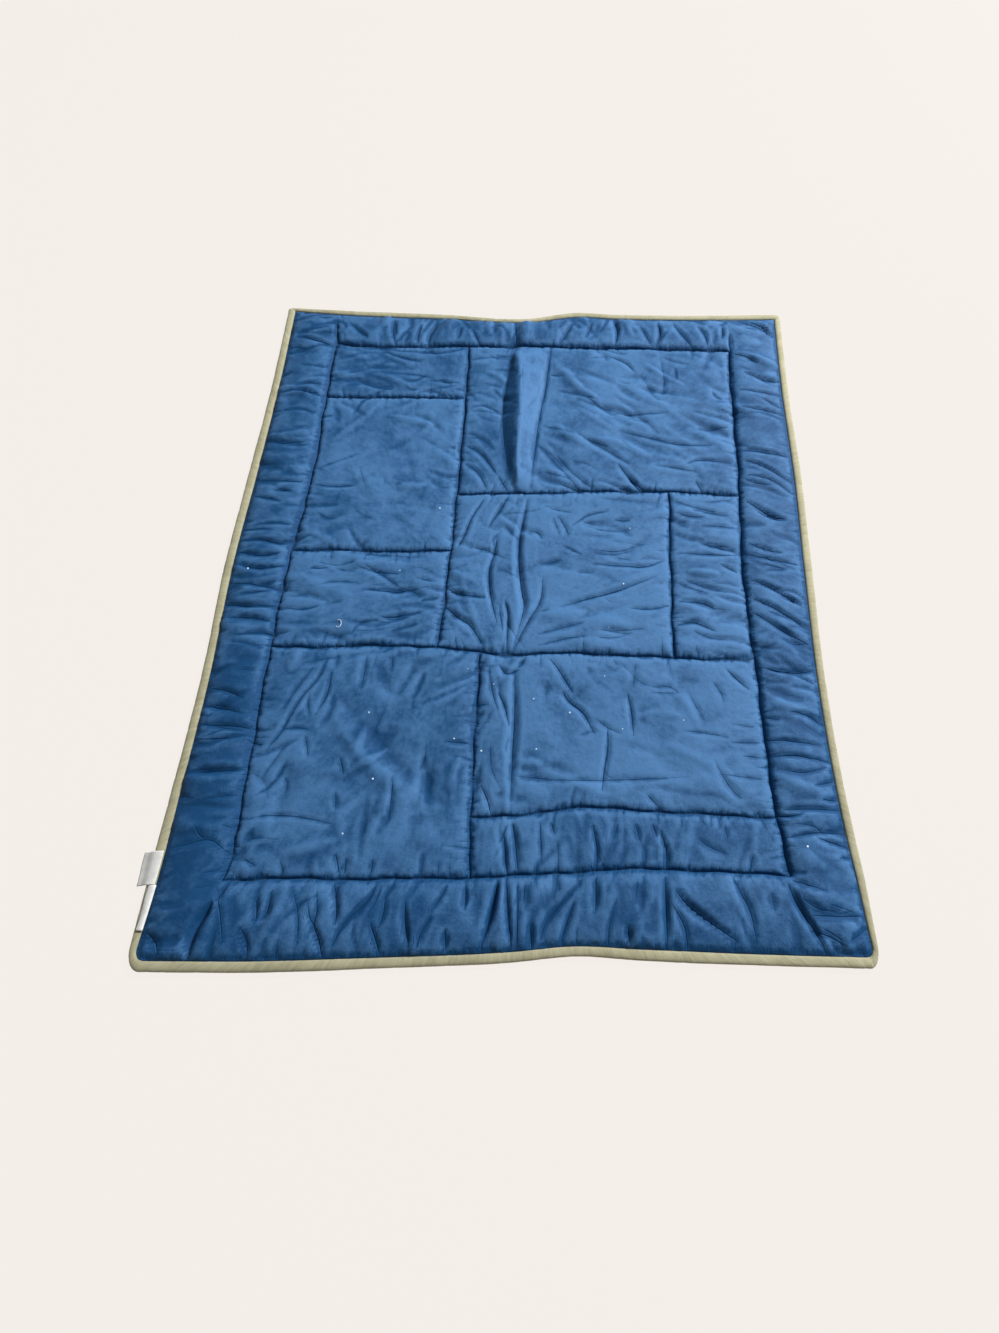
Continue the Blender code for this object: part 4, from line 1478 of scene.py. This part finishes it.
@dataclass
class Binding:
    """Folded bias strip that runs on round all four edges."""

    plan: LaidPlan
    width: float = 12.0
    height: float = 7.4
    squareness: float = 2.5
    pitch: float = 3.0
    section_points: int = 20
    gather_pitch: float = 27.0
    gather_width: float = 2.4
    gather_depth: float = 0.09

    def _side(self, half: float) -> Array:
        """Shares from one corner to the next, closer together beside the corners."""
        count = int(2 * half / self.pitch)
        even = np.linspace(-1, 1, count, endpoint=False)
        close = 1 - np.array([1, 2, 4, 7, 11, 16, 22]) / half
        return np.unique(np.concatenate([even, close, -close, [-1.0]]))

    def build(self, khaki: bpy.types.Material) -> bpy.types.Object:
        """Carry a rounded section round the edge.

        The section is a superellipse as wide as the binding. Its size swells and is
        nipped in at each gather, and its points lie at their own distances in from the
        outer edge, so the corners turn with it.

        Args:
            khaki: The strip's finish.

        Returns:
            The binding, which replaces its four plain lengths.
        """
        half_u, half_v = self.plan.width / 2, self.plan.length / 2
        turn = np.linspace(0, 2 * np.pi, self.section_points, endpoint=False)
        power = 2 / self.squareness
        reach = self.width / 2 * (1 - np.sign(np.cos(turn)) * np.abs(np.cos(turn)) ** power)
        lift = np.sign(np.sin(turn)) * np.abs(np.sin(turn)) ** power
        low_u, low_v = self._side(half_u), self._side(half_v)
        start = np.cumsum([0, 2 * half_u, 2 * half_v, 2 * half_u])
        lengths = ((low_u + 1) * half_u, (low_v + 1) * half_v) * 2
        run = np.concatenate([first + length for first, length in zip(start, lengths)])
        swell = self._swell(run)
        inner = reach[None, :] * np.ones((len(run), 1))
        inner = self.width / 2 + (inner - self.width / 2) * (0.5 + 0.5 * swell)[:, None]
        share = np.concatenate([low_u, low_v, -low_u, -low_v])[:, None]
        number = np.repeat(np.arange(4), [len(low_u), len(low_v)] * 2)[:, None]
        u = np.select(
            [number == 0, number == 1, number == 2],
            [share * (half_u - inner), half_u - inner, share * (half_u - inner)],
            inner - half_u,
        )
        v = np.select(
            [number == 0, number == 1, number == 2],
            [inner - half_v, share * (half_v - inner), half_v - inner],
            share * (half_v - inner),
        )
        x, y = self.plan.lay(u.ravel(), v.ravel())
        z = self.height / 2 * (1 + lift[None, :] * swell[:, None])
        z = np.maximum(z + 0.5 * (swell[:, None] - 1), 0.02)
        points = self.plan.place(x, y, z.ravel())
        around = np.broadcast_to(turn / (2 * np.pi) * 0.03, u.shape)
        strip = np.stack([around.ravel(), np.repeat(run, len(turn)) * MM], -1)
        faces = grid_faces(len(run), len(turn), True, True)[:, ::-1]
        binding = make_mesh("binding", points, faces, khaki, strip)
        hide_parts("binding_top", "binding_right", "binding_bottom", "binding_left")
        return binding

    def _swell(self, run: Array) -> Array:
        """Size along the strip: slow sines, less a narrow bell at each uneven gather."""
        slow = 0.035 * np.sin(run / 31.0) + 0.03 * np.sin(run / 12.7 + 1.3)
        rng = np.random.default_rng(11)
        count = int(run[-1] / self.gather_pitch)
        places = (np.arange(count) + rng.uniform(0.1, 0.9, count)) * self.gather_pitch
        depths = self.gather_depth * rng.uniform(0.3, 1.3, count)
        widths = self.gather_width * rng.uniform(0.7, 1.6, count)
        nips = depths * bell((run[:, None] - places) / widths)
        return 1 + slow - nips.sum(axis=1)


@dataclass
class CareLabel:
    """Blank white label over the left binding, with the narrow leaf below it."""

    plan: LaidPlan
    thickness: float = 0.5
    top: float = -407.0
    bottom: float = -443.0
    leaf_bottom: float = -497.0
    route: tuple[tuple[float, float], ...] = (
        # in from the outer edge, height
        (-13.3, 1.4),
        (-7.0, 3.6),
        (-1.2, 6.9),
        (2.6, 8.3),
        (8.0, 9.1),
        (12.0, 8.9),
    )
    leaf_route: tuple[tuple[float, float], ...] = (
        (4.4, 7.9),
        (8.6, 9.1),
        (12.6, 9.0),
        (13.8, 7.4),
    )

    def _strip(
        self,
        name: str,
        route: tuple[tuple[float, float], ...],
        span: tuple[float, float],
        node: str,
        white: bpy.types.Material,
        curl: float,
    ) -> bpy.types.Object:
        """Make one leaf.

        The route is read as a smooth curve in from the edge and carried along it, with
        a slow ripple in its height and the same surface again one thickness below.

        Args:
            name: The piece's name.
            route: Distances in and heights, from the free end.
            span: Cut places of its two ends along the edge.
            node: The plain solid that it replaces.
            white: Its finish.
            curl: Height of the ripple.

        Returns:
            The leaf.
        """
        knots = np.array(route)
        at = np.linspace(0, 1, 22)
        stops = np.linspace(0, 1, len(knots))
        inward = LaidPlan.smooth(stops, knots[:, 0], at)
        height = LaidPlan.smooth(stops, knots[:, 1], at)
        places = np.linspace(*span, 28)
        grid_in, grid_v = np.meshgrid(inward, places)
        grid_z, _ = np.meshgrid(height, places)
        free = np.linspace(1, 0, len(at))[None, :]
        wave = np.sin((grid_v - span[0]) / abs(span[1] - span[0]) * 5.2 + 0.6)
        grid_z = grid_z + curl * wave * (0.35 + free)
        grid_in = grid_in + 0.5 * np.sin(grid_v / 6.5) * free
        x, y = self.plan.lay(grid_in.ravel() - self.plan.width / 2, grid_v.ravel())
        upper = self.plan.place(x, y, grid_z.ravel())
        lower = self.plan.place(x, y, grid_z.ravel() - self.thickness)
        rows, columns = grid_v.shape
        sheet = grid_faces(rows, columns)
        ring = grid_rim(np.arange(rows * columns).reshape(rows, columns))
        after = np.roll(ring, -1)
        edge = np.stack([ring, after, after + rows * columns, ring + rows * columns], -1)
        faces = np.vstack([sheet[:, ::-1], sheet + rows * columns, edge])
        points = np.vstack([upper, lower])
        strip = np.stack([grid_in.ravel(), grid_v.ravel()], -1) * MM
        leaf = make_mesh(name, points, faces, white, np.vstack([strip, strip]))
        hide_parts(node)
        length = float(np.hypot(np.diff(inward), np.diff(height)).sum()) * MM
        flat = (length, abs(span[1] - span[0]) * MM)
        return leaf

    def build(self, white: bpy.types.Material) -> list[bpy.types.Object]:
        """Make the label and its leaf."""
        spans = ((self.top, self.bottom), (self.bottom - 0.3, self.leaf_bottom))
        return [
            self._strip("care_label_leaf", self.route, spans[0], "care_label", white, 0.5),
            self._strip("under_leaf", self.leaf_route, spans[1], "label_leaf", white, 0.25),
        ]


@dataclass
class Stitching:
    """Machine stitches sunk in the grooves of the quilting, thick and very dark so that they also
    paint the grooves' shade.
    """

    plan: LaidPlan
    body: QuiltBody
    pitch: float = 4.2
    fill: float = 0.9
    radius: float = 0.9
    lift: float = 0.2
    sides: int = 5
    stations: tuple[tuple[float, float], ...] = (
        # place along, share of the radius
        (-0.40, 0.75),
        (0.0, 1.0),
        (0.40, 0.75),
    )

    def _stitch(self) -> tuple[Array, Array, list[list[int]]]:
        """One stitch of unit length: places along, sections, and its faces."""
        around = 2 * math.pi * np.arange(self.sides) / self.sides
        ring = np.stack([np.cos(around), np.sin(around)], -1)
        along = np.repeat([at for at, _ in self.stations], self.sides)
        section = np.vstack([share * ring for _, share in self.stations])
        tail, head = len(along), len(along) + 1
        last = tail - self.sides
        faces = []
        for side in range(self.sides):
            after = (side + 1) % self.sides
            faces += [[tail, after, side], [head, last + side, last + after]]
            for start in range(0, last, self.sides):
                here, there = start + side, start + after
                faces.append([here, there, there + self.sides, here + self.sides])
        return np.append(along, (-0.5, 0.5)), np.vstack([section, np.zeros((2, 2))]), faces

    def build(self, thread: bpy.types.Material) -> bpy.types.Object:
        """Lay stitches end to end along every line of quilting, as one joined mesh."""
        starts, ends = [], []
        for seam in self.body.seams:
            u0, v0 = (self.plan.cut_place(name) for name in seam.start)
            u1, v1 = (self.plan.cut_place(name) for name in seam.end)
            count = round(math.hypot(u1 - u0, v1 - v0) / self.pitch)
            marks = np.linspace(0, 1, count + 1)
            line = np.stack(self.body.lie(u0 + (u1 - u0) * marks, v0 + (v1 - v0) * marks), -1)
            starts.append(line[:-1])
            ends.append(line[1:])
        start, end = np.vstack(starts)[:, None], np.vstack(ends)[:, None]
        along, section, faces = self._stitch()
        reach = end - start
        length = np.linalg.norm(reach, axis=-1, keepdims=True)
        beside = np.stack([-reach[..., 1], reach[..., 0]], -1) / length * self.radius
        flat = (start + end) / 2 + reach * self.fill * along[:, None] + beside * section[:, :1]
        height = self.body.seam_height + self.lift + self.radius * section[:, 1]
        height = np.broadcast_to(height, flat.shape[:2])
        points = self.plan.place(flat[..., 0].ravel(), flat[..., 1].ravel(), height.ravel())
        shift = np.arange(len(start))[:, None] * len(along)
        joined = [list(face + step) for face in map(np.array, faces) for step in shift.ravel()]
        stitches = make_mesh("quilting_stitches_and_seam_shade", points, joined, thread)
        return stitches


@dataclass
class Lint:
    """Stray white fibres and one loose thread that lie on the cloth."""

    plan: LaidPlan
    body: QuiltBody
    specks: tuple[tuple[float, float, float], ...] = (
        # laid x, laid y, size
        (-128, 104, 1.3),
        (-177, -9, 1.0),
        (-397, -9, 1.5),
        (-200, -44, 0.9),
        (144, -27, 1.4),
        (157, 72, 0.8),
        (-196, -232, 1.2),
        (-181, -323, 1.6),
        (-82, -266, 1.4),
        (-46, -282, 1.2),
        (-210, -394, 1.3),
        (20, -208, 1.1),
        (68, -227, 1.4),
        (25, -279, 1.2),
        (217, -236, 0.9),
        (122, -97, 0.9),
        (115, -172, 0.8),
        (356, -400, 1.5),
        (137, -249, 0.8),
        (-70, -164, 0.8),
        (-34, -187, 1.1),
    )
    thread_centre: tuple[float, float] = (-254.0, -98.0)
    thread_radius: float = 6.0
    thread_thickness: float = 0.45

    def _surface(self, x: Array, y: Array) -> Array:
        """Height in metres of the nearest point of the laid cloth."""
        top = self.body.top_shape
        places = self.plan.place(x, y, np.zeros_like(x))[:, :2]
        found = [int(np.argmin(((top[:, :2] - place) ** 2).sum(axis=1))) for place in places]
        return top[found, 2]

    def build(self, fibre: bpy.types.Material) -> list[bpy.types.Object]:
        """Make the specks as flattened balls, and the thread as a tube along an arc."""
        table = np.array(self.specks, float)
        ground = self._surface(table[:, 0], table[:, 1])
        turn, tilt = np.linspace(0, 2 * np.pi, 7)[:-1], np.linspace(0.05, np.pi - 0.05, 5)
        theta, phi = np.meshgrid(turn, tilt)
        ball = np.stack(
            [np.sin(phi) * np.cos(theta), np.sin(phi) * np.sin(theta), 0.45 * np.cos(phi)], -1
        ).reshape(-1, 3)
        quads = grid_faces(*theta.shape, wrap_columns=True)[:, ::-1]
        columns = theta.shape[1]
        caps = [list(range(columns)), list(range(len(ball) - 1, len(ball) - 1 - columns, -1))]
        rng = np.random.default_rng(5)
        points, faces = [], []
        for number, (x, y, size) in enumerate(table):
            spun = ball * rng.uniform(0.75, 1.3, (len(ball), 1)) * (size, size, size)
            centre = self.plan.place(np.array([x]), np.array([y]), np.array([0.0]))[0]
            centre[2] = ground[number] + 0.2 * MM
            points.append(spun * MM + centre)
            shift = number * len(ball)
            faces += (quads + shift).tolist() + [[corner + shift for corner in cap] for cap in caps]
        specks = make_mesh("lint_specks", np.vstack(points), faces, fibre)
        return [specks, self._thread(fibre)]

    def _thread(self, fibre: bpy.types.Material) -> bpy.types.Object:
        """Tube along three quarters of a circle that sags with the cloth."""
        angle = np.linspace(-2.4, 2.2, 26)
        x = self.thread_centre[0] + self.thread_radius * 0.62 * np.cos(angle)
        y = self.thread_centre[1] + self.thread_radius * np.sin(angle)
        z = self._surface(x, y) / MM + self.thread_thickness + 0.25
        around = np.linspace(0, 2 * np.pi, 6, endpoint=False)
        outward = np.cos(around)[None, :] * self.thread_thickness
        ring_x = x[:, None] + outward * np.cos(angle)[:, None]
        ring_y = y[:, None] + outward * np.sin(angle)[:, None]
        ring_z = z[:, None] + np.sin(around)[None, :] * self.thread_thickness
        points = self.plan.place(ring_x.ravel(), ring_y.ravel(), ring_z.ravel())
        count = len(around)
        faces = grid_faces(len(angle), count, wrap_columns=True).tolist()
        faces += [list(range(count))[::-1], list(range(len(points) - count, len(points)))]
        thread = make_mesh("loose_thread", points, faces, fibre)
        return thread


@dataclass(frozen=True)
class Studio:
    """Pale floor, soft window light from the upper right, and the camera."""

    plan: LaidPlan
    camera_place: tuple[float, float, float] = (35.9, -646.4, 980.0)
    pitch_down: float = 63.3
    heading: float = -1.05
    lens: float = 21.6
    shift: float = -0.03
    key_place: tuple[float, float, float] = (2.6, 2.0, 2.5)
    key_size: float = 1.1
    key_power: float = 282.0
    fill_place: tuple[float, float, float] = (-1.6, -1.2, 2.2)
    fill_power: float = 6.0
    fill_size: float = 2.4
    sky: float = 0.14
    floor_half: float = 4.0
    floor_drop: float = 0.0004

    def _light(self, name: str, place: Sequence[float], power: float, size: float) -> None:
        """Square area light that faces the quilt's middle."""
        lamp = bpy.data.lights.new(name, "AREA")
        lamp.energy, lamp.size = power, size
        holder = bpy.data.objects.new(name, lamp)
        holder.location = place
        holder.rotation_mode = "QUATERNION"
        holder.rotation_quaternion = (-Vector(place)).to_track_quat("-Z", "Y")
        bpy.context.scene.collection.objects.link(holder)

    def build(self) -> None:
        """Set the floor, lights and camera."""
        corners = np.array([[-1, -1], [1, -1], [1, 1], [-1, 1]]) * self.floor_half
        points = np.column_stack([corners, np.full(4, -self.floor_drop)])
        floor = make_mesh("floor", points, [[0, 1, 2, 3]], FloorFinish().make())
        self._light("window", self.key_place, self.key_power, self.key_size)
        self._light("fill", self.fill_place, self.fill_power, self.fill_size)
        scene = bpy.context.scene
        world = bpy.data.worlds.new("soft_sky")
        world.use_nodes = True
        sky = world.node_tree.nodes["Background"]
        sky.inputs["Color"].default_value = (1.0, 0.985, 0.965, 1.0)
        sky.inputs["Strength"].default_value = self.sky
        scene.world = world
        scene.view_settings.view_transform = "Standard"
        pitch, heading = math.radians(self.pitch_down), math.radians(self.heading)
        ahead = Vector(
            (
                math.sin(heading) * math.cos(pitch),
                math.cos(heading) * math.cos(pitch),
                -math.sin(pitch),
            )
        )
        data = bpy.data.cameras.new("camera")
        data.sensor_width, data.lens, data.shift_x = 36.0, self.lens, self.shift
        camera = bpy.data.objects.new("camera", data)
        camera.location = self.plan.place(*self.camera_place)
        camera.rotation_mode = "QUATERNION"
        camera.rotation_quaternion = ahead.to_track_quat("-Z", "Y")
        scene.collection.objects.link(camera)
        scene.camera = camera


def main() -> None:
    """Build every piece in order and report it."""
    logging.basicConfig(level=logging.INFO, format="%(message)s")
    plan = LaidPlan()
    body = QuiltBody(plan)
    pieces = [body.build(CottonFinish().make())]
    pieces.append(Binding(plan).build(BindingFinish().make()))
    pieces += CareLabel(plan).build(LabelFinish().make())
    pieces.append(Stitching(plan, body).build(ThreadAndSeamShadeFinish().make()))
    pieces += Lint(plan, body).build(LintFinish().make())
    for piece in pieces:
        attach(piece, "root")
        LOG.info("%s: %d faces", piece.name, len(piece.data.polygons))
    Studio(plan).build()


if __name__ == "__main__":
    main()
